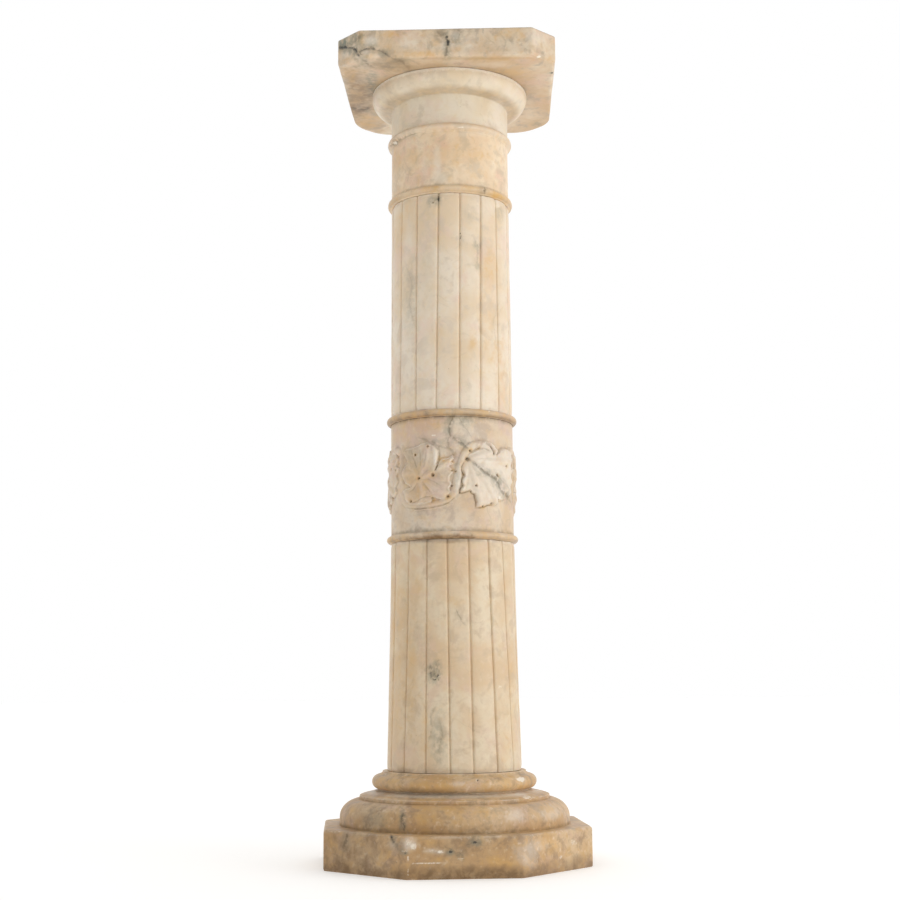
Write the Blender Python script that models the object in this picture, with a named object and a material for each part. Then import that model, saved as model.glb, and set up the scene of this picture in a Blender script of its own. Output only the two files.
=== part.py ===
"""Carved stone column: a moulded base on an eight-sided plinth, a reeded lower shaft, a drum with a
vine in relief, a reeded upper shaft, a plain collar, a round capital and a square top slab.

Metres, +Z up. The origin is the middle of the underside and the front of the plinth faces -Y. An
angle "from the front" is counted round the axis, 0 towards -Y and positive towards +X.
"""

import math

import bmesh
import bpy

MM = 0.001

# The seven stones stand on each other with a hair joint between them
JOINT = 0.3 * MM

# Base stone: eight-sided plinth with two round mouldings turned on top of it
PLINTH_SIDES = 8
PLINTH_ACROSS_FLATS = 329.5 * MM
PLINTH_HEIGHT = 48.5 * MM
PLINTH_CORNER_RADIUS = 6.0 * MM
PLINTH_ARRIS = 2.5 * MM
BIG_ROUND_RADIUS = 145.4 * MM
BIG_ROUND_UPRIGHT = 9.5 * MM
BIG_ROUND_CURVE_WIDTH = 26.0 * MM
BIG_ROUND_CURVE_HEIGHT = 23.5 * MM
STEP_RADIUS = 120.5 * MM
STEP_HEIGHT = 4.4 * MM
SLOPE_FOOT_RADIUS = 116.0 * MM
SLOPE_RISE = 4.2 * MM
SMALL_ROUND_RADIUS = 105.2 * MM
SMALL_ROUND_NECK_RADIUS = 98.5 * MM
SMALL_ROUND_HEIGHT = 20.0 * MM
SEAT_FILLET_RADIUS = 91.0 * MM
SEAT_FILLET_HEIGHT = 4.1 * MM
MOULDING_ROOT = 15.0 * MM

# Lower shaft: a wide skirt that narrows upwards, cut into round-faced reeds
LOWER_SHAFT_HEIGHT = 287.0 * MM
LOWER_SHAFT_FOOT_RADIUS = 86.1 * MM
LOWER_SHAFT_HEAD_RADIUS = 80.6 * MM
LOWER_SHAFT_FLARE = 1.45
LOWER_REEDS = 17
LOWER_FIRST_GROOVE = 13.0

# Drum with the vine and a bead at each end
DRUM_HEIGHT = 165.4 * MM
DRUM_RADIUS = 79.8 * MM
DRUM_BEAD_RADIUS = 85.7 * MM
VINE_MIDDLE = 82.5 * MM
VINE_HALF_HEIGHT = 43.0 * MM
VINE_REPEATS = 3
VINE_FIRST_RISE = 1.5
STEM_HALF_WIDTH = 4.6 * MM
STEM_PROUD = 3.4 * MM
STEM_EDGE_PROUD = 1.5 * MM
STEM_FLAT_SHARE = 0.5
STEM_STEEPNESS = 0.7
LEAF_PROUD = 4.6 * MM
LEAF_EDGE_PROUD = 3.2 * MM
RELIEF_FOOT_DEPTH = 2.0 * MM
RELIEF_CORE_DEPTH = 6.0 * MM

# Upper shaft
UPPER_SHAFT_HEIGHT = 284.7 * MM
UPPER_SHAFT_FOOT_RADIUS = 79.9 * MM
UPPER_SHAFT_HEAD_RADIUS = 78.5 * MM
UPPER_REEDS = 16
UPPER_FIRST_GROOVE = 7.5

# Grooves between the reeds, the same tool for both shafts. The shoulder is where a reed's face starts
# to turn down, as a share of the reed's width and of its crown
GROOVE_HALF_WIDTH = 1.2 * MM
GROOVE_DEPTH = 1.8 * MM
REED_CROWN = 0.7 * MM
REED_SHOULDER_PLACE = 0.3
REED_SHOULDER_DROP = 0.2

# Collar with a bead at each end
COLLAR_HEIGHT = 94.3 * MM
COLLAR_RADIUS = 78.3 * MM
COLLAR_BEAD_RADIUS = 83.8 * MM
BEAD_HEIGHT = 9.8 * MM

# Capital: a plain neck, a sunk fillet and a round echinus
NECK_RADIUS = 78.5 * MM
NECK_HEIGHT = 39.4 * MM
QUIRK_RADIUS = 84.0 * MM
QUIRK_RISE = 2.2 * MM
ECHINUS_RADIUS = 105.0 * MM
ECHINUS_CURVE_HEIGHT = 19.6 * MM
ECHINUS_LIP = 4.0 * MM
ECHINUS_LIP_INSET = 1.0 * MM

# Top slab: square with cut corners, the back pair rounder, laid slightly askew on the capital
SLAB_SIDE = 276.0 * MM
SLAB_THICKNESS = 37.4 * MM
SLAB_TURN = -5.7
SLAB_FRONT_CUT = 31.0 * MM
SLAB_FRONT_CUT_RADIUS = 9.0 * MM
SLAB_BACK_CUT = 42.0 * MM
SLAB_BACK_CUT_RADIUS = 48.0 * MM
SLAB_ARRIS = 1.8 * MM

# How finely round shapes are faceted: sides round the axis and steps along each curve
TURNED_SIDES = 40
DRUM_SIDES = 48
BEAD_STEPS = 4
MOULDING_STEPS = 6
CORNER_STEPS = 2
SLAB_CORNER_STEPS = 3
LOWER_SHAFT_STEPS = 4
UPPER_SHAFT_STEPS = 2
STEM_RINGS_PER_REPEAT = 20
STEM_LOOK_AHEAD = 0.01
LEAF_EDGE_POINTS = 36

# Leaf forms: (direction, reach) of each lobe's tip from the leaf's middle, in degrees and metres. The
# ribs are highest at one share of the way out and start at another
RISING_LEAF_LOBES = ((18, 40 * MM), (84, 41 * MM), (146, 45 * MM), (221, 47 * MM), (315, 42 * MM))
HANGING_LEAF_LOBES = ((26, 41 * MM), (84, 42 * MM), (150, 38 * MM), (207, 42 * MM), (259, 40 * MM),
                      (314, 44 * MM))
RISING_LEAF_PLACE = -28.0
HANGING_LEAF_PLACE = 32.0
LEAF_WEB = 30.0 * MM
LEAF_RIB_TOP = 0.6
LEAF_RIB_ROOT = 0.25
LEAF_LOBE_FULLNESS = 0.7
LEAF_LOBE_SPREAD = 34.0
LEAF_TEETH = 18
LEAF_TOOTH = 0.05


def around(radius, degrees_from_front, z):
    """Point at a radius and height, at an angle from the front."""
    a = math.radians(degrees_from_front)
    return (radius * math.sin(a), -radius * math.cos(a), z)


def curve_points(middle_r, middle_z, half_r, half_z, start, end, steps):
    """Points (radius, z) along an upright ellipse, from one angle in degrees to another."""
    points = []
    for k in range(steps + 1):
        a = math.radians(start + (end - start) * k / steps)
        points.append((middle_r + half_r * math.cos(a), middle_z + half_z * math.sin(a)))
    return points


def bead(wall_radius, bead_radius, z, height, steps=BEAD_STEPS):
    """Half-round bead on a wall, from its lower edge to its upper edge."""
    return curve_points(wall_radius, z + height / 2, bead_radius - wall_radius, height / 2, -90, 90, steps)


def loft(rings, closed=False):
    """Vertices and faces of a skin through rings of equal count, capped unless its ends meet."""
    count = len(rings[0])
    vertices = [point for ring in rings for point in ring]
    faces = []
    spans = len(rings) if closed else len(rings) - 1
    for k in range(spans):
        low = k * count
        high = ((k + 1) % len(rings)) * count
        for i in range(count):
            j = (i + 1) % count
            faces.append((low + i, low + j, high + j, high + i))
    if not closed:
        faces.append(tuple(reversed(range(count))))
        faces.append(tuple(range(len(vertices) - count, len(vertices))))
    return vertices, faces


def turned(profile, sides=TURNED_SIDES):
    """Skin of a profile of (radius, z) points carried round the axis."""
    pitch = 360 / sides
    return loft([[around(r, k * pitch, z) for k in range(sides)] for r, z in profile])


def rounded_outline(corners, radii, steps):
    """Convex outline whose corners are replaced by arcs that touch both sides."""
    outline = []
    count = len(corners)
    for i in range(count):
        x, y = corners[i]
        before = (corners[i - 1][0] - x, corners[i - 1][1] - y)
        after = (corners[(i + 1) % count][0] - x, corners[(i + 1) % count][1] - y)
        a0 = math.atan2(before[1], before[0])
        a1 = math.atan2(after[1], after[0])
        opening = (a0 - a1) % (2 * math.pi)
        reach = radii[i] / math.sin(opening / 2)
        middle = a1 + opening / 2
        cx = x + reach * math.cos(middle)
        cy = y + reach * math.sin(middle)
        sweep = math.pi - opening
        for k in range(steps + 1):
            a = middle + math.pi + sweep * (k / steps - 0.5)
            outline.append((cx + radii[i] * math.cos(a), cy + radii[i] * math.sin(a)))
    return outline


def inset_outline(outline, distance):
    """The same outline with every side moved inwards by a distance."""
    moved = []
    count = len(outline)
    for i in range(count):
        x, y = outline[i]
        px, py = outline[i - 1]
        nx, ny = outline[(i + 1) % count]
        before = math.atan2(y - py, x - px)
        after = math.atan2(ny - y, nx - x)
        half = ((after - before + math.pi) % (2 * math.pi) - math.pi) / 2
        inward = (before + half) + math.pi / 2
        reach = distance / math.cos(half)
        moved.append((x + reach * math.cos(inward), y + reach * math.sin(inward)))
    return moved


def slab_solid(outline, z0, z1, arris):
    """Upright slab with its upper and lower edges eased by a narrow chamfer."""
    levels = ((z0, arris), (z0 + arris, 0), (z1 - arris, 0), (z1, arris))
    rings = []
    for z, inset in levels:
        shape = inset_outline(outline, inset) if inset else outline
        rings.append([(x, y, z) for x, y in shape])
    return loft(rings)


def stone(name, colour):
    """A polished stone material."""
    material = bpy.data.materials.new(name)
    material.use_nodes = True
    shader = material.node_tree.nodes["Principled BSDF"]
    shader.inputs["Base Color"].default_value = (*colour, 1)
    shader.inputs["Roughness"].default_value = 0.42
    shader.inputs["Metallic"].default_value = 0.0
    return material


def add(name, skin, colour=None, spare=False):
    """A named object from vertices and faces, or a hidden shape that another one is joined to."""
    mesh = bpy.data.meshes.new(name)
    mesh.from_pydata(skin[0], [], skin[1])
    shape = bmesh.new()
    shape.from_mesh(mesh)
    bmesh.ops.recalc_face_normals(shape, faces=shape.faces)
    shape.to_mesh(mesh)
    shape.free()
    mesh.shade_smooth()
    mesh.set_sharp_from_angle(angle=math.radians(35))
    item = bpy.data.objects.new(name, mesh)
    bpy.context.scene.collection.objects.link(item)
    if spare:
        item.hide_render = True
        item.display_type = "WIRE"
    else:
        mesh.materials.append(stone(name + "_stone", colour))
    return item


def join(item, other):
    """One body out of two shapes that overlap."""
    modifier = item.modifiers.new("join " + other.name, "BOOLEAN")
    modifier.operation = "UNION"
    modifier.solver = "EXACT"
    modifier.use_self = True
    modifier.object = other


def turned_outline_of_base(z):
    """Profile of the base's two mouldings, from inside the plinth up to the shaft's seat."""
    upright_top = z + BIG_ROUND_UPRIGHT
    lip = (BIG_ROUND_RADIUS - STEP_RADIUS) / BIG_ROUND_CURVE_WIDTH
    last = math.degrees(math.acos(1 - lip))
    profile = [(BIG_ROUND_RADIUS, z - MOULDING_ROOT)]
    profile += curve_points(BIG_ROUND_RADIUS - BIG_ROUND_CURVE_WIDTH, upright_top,
                            BIG_ROUND_CURVE_WIDTH, BIG_ROUND_CURVE_HEIGHT, 0, last, MOULDING_STEPS)
    step_foot = profile[-1][1]
    slope_foot = step_foot + STEP_HEIGHT
    profile.append((SLOPE_FOOT_RADIUS, slope_foot))
    round_foot = slope_foot + SLOPE_RISE
    profile += bead(SMALL_ROUND_NECK_RADIUS, SMALL_ROUND_RADIUS, round_foot, SMALL_ROUND_HEIGHT, MOULDING_STEPS)
    round_head = round_foot + SMALL_ROUND_HEIGHT
    profile.append((SEAT_FILLET_RADIUS, round_head))
    profile.append((SEAT_FILLET_RADIUS, round_head + SEAT_FILLET_HEIGHT))
    return profile


def make_base():
    """Plinth and mouldings, cut from one block. Returns the height of the seat on top."""
    pitch = 360 / PLINTH_SIDES
    corner = PLINTH_ACROSS_FLATS / 2 / math.cos(math.radians(pitch / 2))
    corners = [around(corner, pitch * (k + 0.5), 0)[:2] for k in range(PLINTH_SIDES)]
    outline = rounded_outline(corners, [PLINTH_CORNER_RADIUS] * PLINTH_SIDES, CORNER_STEPS)
    base = add("base", slab_solid(outline, 0, PLINTH_HEIGHT, PLINTH_ARRIS), (0.62, 0.40, 0.22))
    profile = turned_outline_of_base(PLINTH_HEIGHT)
    join(base, add("base_mouldings", turned(profile), spare=True))
    return profile[-1][1]


def reeded_ring(radius, z, reeds, first_groove):
    """Ring of points round a reeded shaft: for each reed the groove, its two edges and the crown."""
    pitch = 360 / reeds
    edge = math.degrees(GROOVE_HALF_WIDTH / radius)
    shoulder = pitch * REED_SHOULDER_PLACE
    drop = REED_CROWN * REED_SHOULDER_DROP
    offsets = ((0, GROOVE_DEPTH), (edge, REED_CROWN), (shoulder, drop), (pitch / 2, 0),
               (pitch - shoulder, drop), (pitch - edge, REED_CROWN))
    ring = []
    for k in range(reeds):
        for turn, depth in offsets:
            ring.append(around(radius - depth, first_groove + k * pitch + turn, z))
    return ring


def make_lower_shaft(z):
    """Reeded skirt that flares towards its foot. Returns the height of its head."""
    rings = []
    for k in range(LOWER_SHAFT_STEPS + 1):
        share = k / LOWER_SHAFT_STEPS
        spread = (1 - share) ** LOWER_SHAFT_FLARE
        radius = LOWER_SHAFT_HEAD_RADIUS + (LOWER_SHAFT_FOOT_RADIUS - LOWER_SHAFT_HEAD_RADIUS) * spread
        rings.append(reeded_ring(radius, z + LOWER_SHAFT_HEIGHT * share, LOWER_REEDS, LOWER_FIRST_GROOVE))
    add("lower_shaft", loft(rings), (0.70, 0.56, 0.38))
    return z + LOWER_SHAFT_HEIGHT


def make_upper_shaft(z):
    """Reeded shaft with a slight straight taper. Returns the height of its head."""
    rings = []
    for k in range(UPPER_SHAFT_STEPS + 1):
        share = k / UPPER_SHAFT_STEPS
        radius = UPPER_SHAFT_FOOT_RADIUS + (UPPER_SHAFT_HEAD_RADIUS - UPPER_SHAFT_FOOT_RADIUS) * share
        rings.append(reeded_ring(radius, z + UPPER_SHAFT_HEIGHT * share, UPPER_REEDS, UPPER_FIRST_GROOVE))
    add("upper_shaft", loft(rings), (0.76, 0.66, 0.50))
    return z + UPPER_SHAFT_HEIGHT


def beaded_drum(radius, bead_radius, z, height):
    """Profile of a plain drum with a half-round bead along each end."""
    return bead(radius, bead_radius, z, BEAD_HEIGHT) + \
        bead(radius, bead_radius, z + height - BEAD_HEIGHT, BEAD_HEIGHT)


def stem_place(turn):
    """Angle and height share of the vine's stem: a wave whose flanks are steeper than its crests."""
    repeat = 360 / VINE_REPEATS
    angle = repeat / (2 * math.pi) * (turn - STEM_STEEPNESS / 2 * math.sin(2 * turn))
    return VINE_FIRST_RISE + angle, math.sin(turn)


def vine_stem(middle):
    """Ring-shaped stem of flattened half-round section that runs round the drum as a wave."""
    section = ((-1, -RELIEF_FOOT_DEPTH), (-1, STEM_EDGE_PROUD), (-STEM_FLAT_SHARE, STEM_PROUD),
               (STEM_FLAT_SHARE, STEM_PROUD), (1, STEM_EDGE_PROUD), (1, -RELIEF_FOOT_DEPTH))
    reach = VINE_HALF_HEIGHT - STEM_HALF_WIDTH
    rings = []
    count = STEM_RINGS_PER_REPEAT * VINE_REPEATS
    for k in range(count):
        turn = 2 * math.pi * k / STEM_RINGS_PER_REPEAT
        angle, share = stem_place(turn)
        ahead = stem_place(turn + STEM_LOOK_AHEAD)
        along = math.radians(ahead[0] - angle) * DRUM_RADIUS
        rise = (ahead[1] - share) * reach
        length = math.hypot(along, rise)
        ring = []
        for side, proud in section:
            sideways = side * STEM_HALF_WIDTH * -rise / length
            upwards = side * STEM_HALF_WIDTH * along / length
            place = angle + math.degrees(sideways / DRUM_RADIUS)
            ring.append(around(DRUM_RADIUS + proud, place, middle + reach * share + upwards))
        rings.append(ring)
    return loft(rings, closed=True)


def leaf_reach(direction, lobes):
    """Distance from the leaf's middle to its toothed edge, and how near the direction is to a lobe."""
    best = 0
    share = 0
    for lobe, reach in lobes:
        off = abs((direction - lobe + 180) % 360 - 180) / LEAF_LOBE_SPREAD
        swell = math.cos(min(off, 1) * math.pi / 2)
        best = max(best, LEAF_WEB + (reach - LEAF_WEB) * swell ** LEAF_LOBE_FULLNESS)
        share = max(share, swell)
    tooth = abs((direction * LEAF_TEETH / 360) % 1 - 0.5) * 4 - 1
    return best * (1 + LEAF_TOOTH * tooth), share


def leaf(place, middle, lobes):
    """Closed leaf that follows the drum: ribs stand proud, the web between them sinks."""
    levels = ((1, -RELIEF_FOOT_DEPTH, 0), (1, LEAF_EDGE_PROUD, 0), (LEAF_RIB_TOP, LEAF_EDGE_PROUD, 1),
              (LEAF_RIB_ROOT, LEAF_EDGE_PROUD, LEAF_RIB_ROOT))
    vertices = [around(DRUM_RADIUS - RELIEF_CORE_DEPTH, place, middle)]
    for share, proud, ribbed in levels:
        for k in range(LEAF_EDGE_POINTS):
            direction = 360 * k / LEAF_EDGE_POINTS
            reach, near = leaf_reach(direction, lobes)
            a = math.radians(direction)
            height = DRUM_RADIUS + proud + (LEAF_PROUD - LEAF_EDGE_PROUD) * ribbed * near
            turn = place + math.degrees(reach * share * math.cos(a) / DRUM_RADIUS)
            vertices.append(around(height, turn, middle + reach * share * math.sin(a)))
    vertices.append(around(DRUM_RADIUS + LEAF_EDGE_PROUD, place, middle))
    count = LEAF_EDGE_POINTS
    faces = []
    for k in range(count):
        j = (k + 1) % count
        faces.append((0, 1 + j, 1 + k))
        for level in range(len(levels) - 1):
            low = 1 + level * count
            faces.append((low + k, low + j, low + count + j, low + count + k))
        faces.append((1 + (len(levels) - 1) * count + k, 1 + (len(levels) - 1) * count + j,
                      len(vertices) - 1))
    return vertices, faces


def merged(skins):
    """Several skins as one list of vertices and faces."""
    vertices = []
    faces = []
    for skin in skins:
        start = len(vertices)
        vertices += skin[0]
        faces += [tuple(start + i for i in face) for face in skin[1]]
    return vertices, faces


def make_drum(z):
    """Drum with its two beads, the stem and the leaves as one stone. Returns the height of its head."""
    drum = add("vine_drum", turned(beaded_drum(DRUM_RADIUS, DRUM_BEAD_RADIUS, z, DRUM_HEIGHT), DRUM_SIDES),
               (0.72, 0.58, 0.42))
    middle = z + VINE_MIDDLE
    join(drum, add("vine_stem", vine_stem(middle), spare=True))
    leaves = []
    for k in range(VINE_REPEATS):
        turn = 360 / VINE_REPEATS * k
        leaves.append(leaf(RISING_LEAF_PLACE + turn, middle, RISING_LEAF_LOBES))
        leaves.append(leaf(HANGING_LEAF_PLACE + turn, middle, HANGING_LEAF_LOBES))
    join(drum, add("vine_leaves", merged(leaves), spare=True))
    return z + DRUM_HEIGHT


def make_collar(z):
    """Plain collar between two beads. Returns the height of its head."""
    profile = beaded_drum(COLLAR_RADIUS, COLLAR_BEAD_RADIUS, z, COLLAR_HEIGHT)
    add("collar", turned(profile), (0.76, 0.56, 0.38))
    return z + COLLAR_HEIGHT


def make_capital(z):
    """Neck, quirk and echinus. Returns the height of its head."""
    neck_head = z + NECK_HEIGHT
    curve_foot = neck_head + QUIRK_RISE
    profile = [(NECK_RADIUS, z), (NECK_RADIUS, neck_head)]
    profile += curve_points(QUIRK_RADIUS, curve_foot + ECHINUS_CURVE_HEIGHT, ECHINUS_RADIUS - QUIRK_RADIUS,
                            ECHINUS_CURVE_HEIGHT, -90, 0, MOULDING_STEPS)
    profile.append((ECHINUS_RADIUS - ECHINUS_LIP_INSET, profile[-1][1] + ECHINUS_LIP))
    add("capital", turned(profile), (0.80, 0.70, 0.53))
    return profile[-1][1]


def make_top_slab(z):
    """Square slab with cut corners, turned slightly from the plinth's front."""
    half = SLAB_SIDE / 2
    cuts = (SLAB_FRONT_CUT, SLAB_FRONT_CUT, SLAB_BACK_CUT, SLAB_BACK_CUT)
    rounds = (SLAB_FRONT_CUT_RADIUS, SLAB_FRONT_CUT_RADIUS, SLAB_BACK_CUT_RADIUS, SLAB_BACK_CUT_RADIUS)
    signs = ((-1, -1), (1, -1), (1, 1), (-1, 1))
    turn = math.radians(SLAB_TURN)
    corners = []
    radii = []
    for (sx, sy), cut, radius in zip(signs, cuts, rounds):
        ends = [(sx * half, sy * (half - cut)), (sx * (half - cut), sy * half)]
        if sx * sy < 0:
            ends.reverse()
        for x, y in ends:
            corners.append((x * math.cos(turn) - y * math.sin(turn), x * math.sin(turn) + y * math.cos(turn)))
            radii.append(radius)
    outline = rounded_outline(corners, radii, SLAB_CORNER_STEPS)
    add("top_slab", slab_solid(outline, z, z + SLAB_THICKNESS, SLAB_ARRIS), (0.70, 0.58, 0.44))


def main():
    for item in list(bpy.data.objects):
        bpy.data.objects.remove(item, do_unlink=True)
    z = make_base() + JOINT
    z = make_lower_shaft(z) + JOINT
    z = make_drum(z) + JOINT
    z = make_upper_shaft(z) + JOINT
    z = make_collar(z) + JOINT
    z = make_capital(z) + JOINT
    make_top_slab(z)


main()
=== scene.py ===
"""The looks of a carved alabaster column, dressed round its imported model.

Every stone of the model is cut again here as a fine surface: a grid of points worked out with numpy from
the stone's profile, with its reeds, vine, worn edges, chips and drilled holes. The veins, stains and
fillings of the photographed side are drawn on the stones from the photograph's own viewpoint, so they
are given as pixels of its 900 by 900 frame. All else is in metres, with +Z up and the front towards -Y.
"""

import math
from functools import partial

import bpy
import numpy as np
from mathutils import Matrix, Vector


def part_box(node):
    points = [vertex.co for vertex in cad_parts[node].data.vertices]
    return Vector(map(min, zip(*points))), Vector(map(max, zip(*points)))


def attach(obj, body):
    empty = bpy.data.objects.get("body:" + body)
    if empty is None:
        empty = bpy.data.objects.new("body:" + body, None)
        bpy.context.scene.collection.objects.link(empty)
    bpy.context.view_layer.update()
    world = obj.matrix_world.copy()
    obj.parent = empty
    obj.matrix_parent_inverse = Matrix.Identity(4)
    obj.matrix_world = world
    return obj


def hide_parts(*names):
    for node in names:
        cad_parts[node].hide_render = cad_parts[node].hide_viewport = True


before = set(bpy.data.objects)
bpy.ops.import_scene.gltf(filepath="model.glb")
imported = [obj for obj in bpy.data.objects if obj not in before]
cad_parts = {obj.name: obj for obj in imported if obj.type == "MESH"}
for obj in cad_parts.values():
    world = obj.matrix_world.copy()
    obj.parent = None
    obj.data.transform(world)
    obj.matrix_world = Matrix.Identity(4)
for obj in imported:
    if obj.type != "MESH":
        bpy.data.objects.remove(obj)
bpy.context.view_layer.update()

MM = 0.001

# The photograph's viewpoint: distance from the column's axis, height above the floor, how far round from
# the plinth's front, and the lens as pixels of focal length
VIEW_DISTANCE = 1.938
VIEW_HEIGHT = 0.230
VIEW_TURN = math.radians(4.05)
VIEW_SIDESTEP = -0.0025
VIEW_PITCH = math.radians(8.689)
VIEW_ROLL = math.radians(0.416)
PICTURE_SIDE = 900
FOCAL_PIXELS = 1490.0
SENSOR_MM = 36.0

# Base
PLINTH_HALF = 164.75 * MM
PLINTH_HEIGHT = 48.5 * MM
PLINTH_CORNER = 6.0 * MM
PLINTH_ARRIS = 3.0 * MM
PLINTH_FOOT_ARRIS = 0.8 * MM
BIG_ROUND_RADIUS = 145.4 * MM
BIG_ROUND_UPRIGHT = 9.5 * MM
BIG_ROUND_CURVE = (26.0 * MM, 21.9 * MM)
STEP_RADIUS = 120.5 * MM
STEP_HEIGHT = 5.8 * MM
SLOPE_FOOT_RADIUS = 116.5 * MM
SLOPE_RISE = 5.0 * MM
SLOPE_NECK_RADIUS = 95.5 * MM
SLOPE_NECK_HEIGHT = 1.2 * MM
SMALL_ROUND_RADIUS = 104.6 * MM
SMALL_ROUND_NECK = 95.8 * MM
SMALL_ROUND_HEIGHT = 17.9 * MM
SEAT_RADIUS = 91.0 * MM

# Shafts
# The grooves that the photograph shows are given as pixels across on two of its rows, upper and lower
LOWER_SHAFT = dict(foot=86.1 * MM, head=80.6 * MM, flare=1.45, reeds=17, rows=(560, 760),
                   grooves=((406.7, 404.9), (425.4, 426.0), (447.1, 450.3), (469.8, 473.5), (490.9, 497.1),
                            (505.4, 512.4)))
UPPER_SHAFT = dict(foot=79.9 * MM, head=78.5 * MM, flare=1.0, reeds=16, rows=(222, 398),
                   grooves=((401.0, 400.1), (416.1, 415.4), (438.0, 436.1), (460.1, 459.4), (481.4, 480.9),
                            (496.8, 499.2)))
GROOVE_HALF_WIDTH = 1.7 * MM
GROOVE_DEPTH = 2.1 * MM
REED_CROWN = 0.8 * MM

# Drum, collar and capital
DRUM_RADIUS = 79.8 * MM
DRUM_BEAD = 85.6 * MM
COLLAR_RADIUS = 78.3 * MM
COLLAR_BEAD = 83.7 * MM
BEAD_HEIGHT = 9.8 * MM
NECK_RADIUS = 78.5 * MM
NECK_HEIGHT = 39.4 * MM
QUIRK_RADIUS = 84.0 * MM
QUIRK_RISE = 2.2 * MM
ECHINUS_RADIUS = 104.9 * MM
ECHINUS_CURVE_HEIGHT = 19.6 * MM
ECHINUS_ROLL = (4.0 * MM, 9.2 * MM)

# Top slab
SLAB_TURN = math.radians(-5.7)
SLAB_ARRIS = 2.0 * MM
SLAB_UNDER_ARRIS = (5.5 * MM, 1.2 * MM)
# Corners of the slab before it is turned, in millimetres, and how far each is rounded: it isn't quite square
SLAB_CORNERS = ((-141.2, -108.0, 5.0), (-111.5, -138.0, 5.0), (110.0, -138.0, 5.0), (140.5, -108.0, 5.0),
                (139.3, 104.8, 45.0), (105.8, 138.0, 45.0), (-102.8, 138.0, 49.0), (-137.0, 103.8, 49.0))

# How finely the stones are cut: points round each one and the spacing of the rows up its profile
BASE_COLUMNS = 640
DRUM_COLUMNS = 576
PLAIN_COLUMNS = 400
SLAB_COLUMNS = 600
REED_POINTS = 26
FINE_ROW = 0.85 * MM
ROW = 1.4 * MM
LONG_ROW = 2.1 * MM

# Marks on each stone as pixels of the photograph. A vein is (ink, route); a blotch is (across, down, half
# width, half height, strength); a dent is (across, down, radius and depth in millimetres)
VEINS = {
    "top_slab": (
        (1.0, ((337.5, 47.5), (342, 48), (347, 47.6), (352.5, 47.6), (355.5, 50), (358, 53.5),
            (360.5, 58))),
        (0.5, ((361, 59.5), (364.5, 60.5), (368, 65), (374, 68))),
        (0.75, ((358, 53), (361, 51), (366, 49.2), (371, 48.4), (377, 50))),
        (0.6, ((376, 49.6), (381, 51), (386, 54.5), (391, 58))),
        (0.5, ((390, 57.5), (396, 60), (402, 61.6), (406, 66), (411.5, 69.4))),
        (0.4, ((437, 31), (440, 35), (443, 38.5))),
        (1.0, ((445.6, 35.5), (447.4, 39), (447.8, 43.5), (447.2, 47))),
        (0.6, ((447.4, 46), (446.4, 51), (445.6, 58))),
        (0.45, ((457, 29.5), (460.5, 32), (459, 36))),
        (0.4, ((363, 33), (357, 39), (353, 44), (349, 47))),
        (0.75, ((350, 106.5), (355, 109), (360, 110.5), (366, 109.5), (371, 107))),
        (0.25, ((500, 33), (506, 41), (504, 49))),
    ),
    "collar": (
        (0.55, ((484.5, 187), (484.3, 190.5), (484.8, 194.5))),
        (0.16, ((404, 160), (410, 171), (407, 183))),
        (0.5, ((388.5, 148), (393, 144.6), (400, 140), (409, 135.6), (418, 132.8))),
    ),
    "upper_shaft": (
        (0.4, ((443, 186), (440, 192), (437, 199), (431, 204))),
        (0.22, ((474, 239), (478, 247), (477, 262), (480, 270))),
        (0.16, ((405, 262), (412, 283), (409, 305), (416, 330))),
        (0.14, ((500, 300), (493, 322), (497, 348))),
    ),
    "vine_drum": (
        (0.6, ((455, 413), (452, 419), (449.5, 425), (449, 431), (450.3, 435.8), (455, 439), (461, 443.3),
            (466, 447), (470.5, 450.3))),
        (0.6, ((469, 459), (474, 463.5), (480, 468), (486, 473), (491, 476.5), (496, 479.5), (498.5, 485),
            (501, 490.5), (505.5, 495), (509.5, 500.5), (512, 505))),
        (0.42, ((449.5, 436), (447.8, 441), (448.5, 447), (453, 453.5), (458.5, 458.5))),
        (0.36, ((418.5, 438), (426, 440), (433, 442), (439, 446), (448.5, 448.5), (454, 453), (459, 458))),
        (0.3, ((459.5, 418), (463, 425), (468, 431), (472, 438))),
        (0.25, ((425, 411), (427, 415), (431, 418))),
        (0.22, ((497, 475), (503, 482), (508, 487), (512, 491))),
    ),
    "lower_shaft": (
        (0.6, ((430, 664.5), (430.3, 671), (431.5, 677), (435, 680.5))),
        (0.4, ((439, 659), (436.4, 665), (434, 669), (433.6, 674))),
        (0.35, ((440, 668), (438.4, 673), (438, 679))),
        (0.4, ((455.5, 610), (458, 615), (461, 619.5), (465, 625))),
        (0.3, ((429, 741), (432, 729), (431, 716), (436, 705))),
        (0.25, ((441, 764), (439, 748), (443, 735), (440, 720))),
        (0.16, ((489, 602), (493, 622), (490, 640))),
    ),
    "base": (
        (0.8, ((405.5, 812), (402.6, 816), (402.2, 822), (404.4, 827), (404.2, 833))),
        (0.35, ((366.5, 831), (366, 822), (369, 815), (378, 811), (386, 808))),
        (0.8, ((347.6, 832.5), (346.6, 838), (344.4, 845), (343, 850))),
        (0.4, ((343.4, 849), (342.4, 856), (342, 862))),
        (0.8, ((390.6, 834.5), (391.8, 839), (395, 843.5))),
        (0.4, ((395, 843), (399, 850), (403, 853.5))),
        (0.5, ((444, 846), (450, 849), (455, 852.5), (459, 858))),
        (0.5, ((466, 846), (471, 843.5), (476, 842.5), (482, 845))),
        (0.45, ((457, 850.5), (461.5, 854.5), (463, 858.5), (462.5, 863))),
        (0.35, ((471, 838), (475, 841.5), (481, 838.5))),
        (0.3, ((395, 812), (400, 807), (405.5, 812))),
        (0.3, ((331, 846), (335, 852), (333, 862))),
    ),
}
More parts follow.
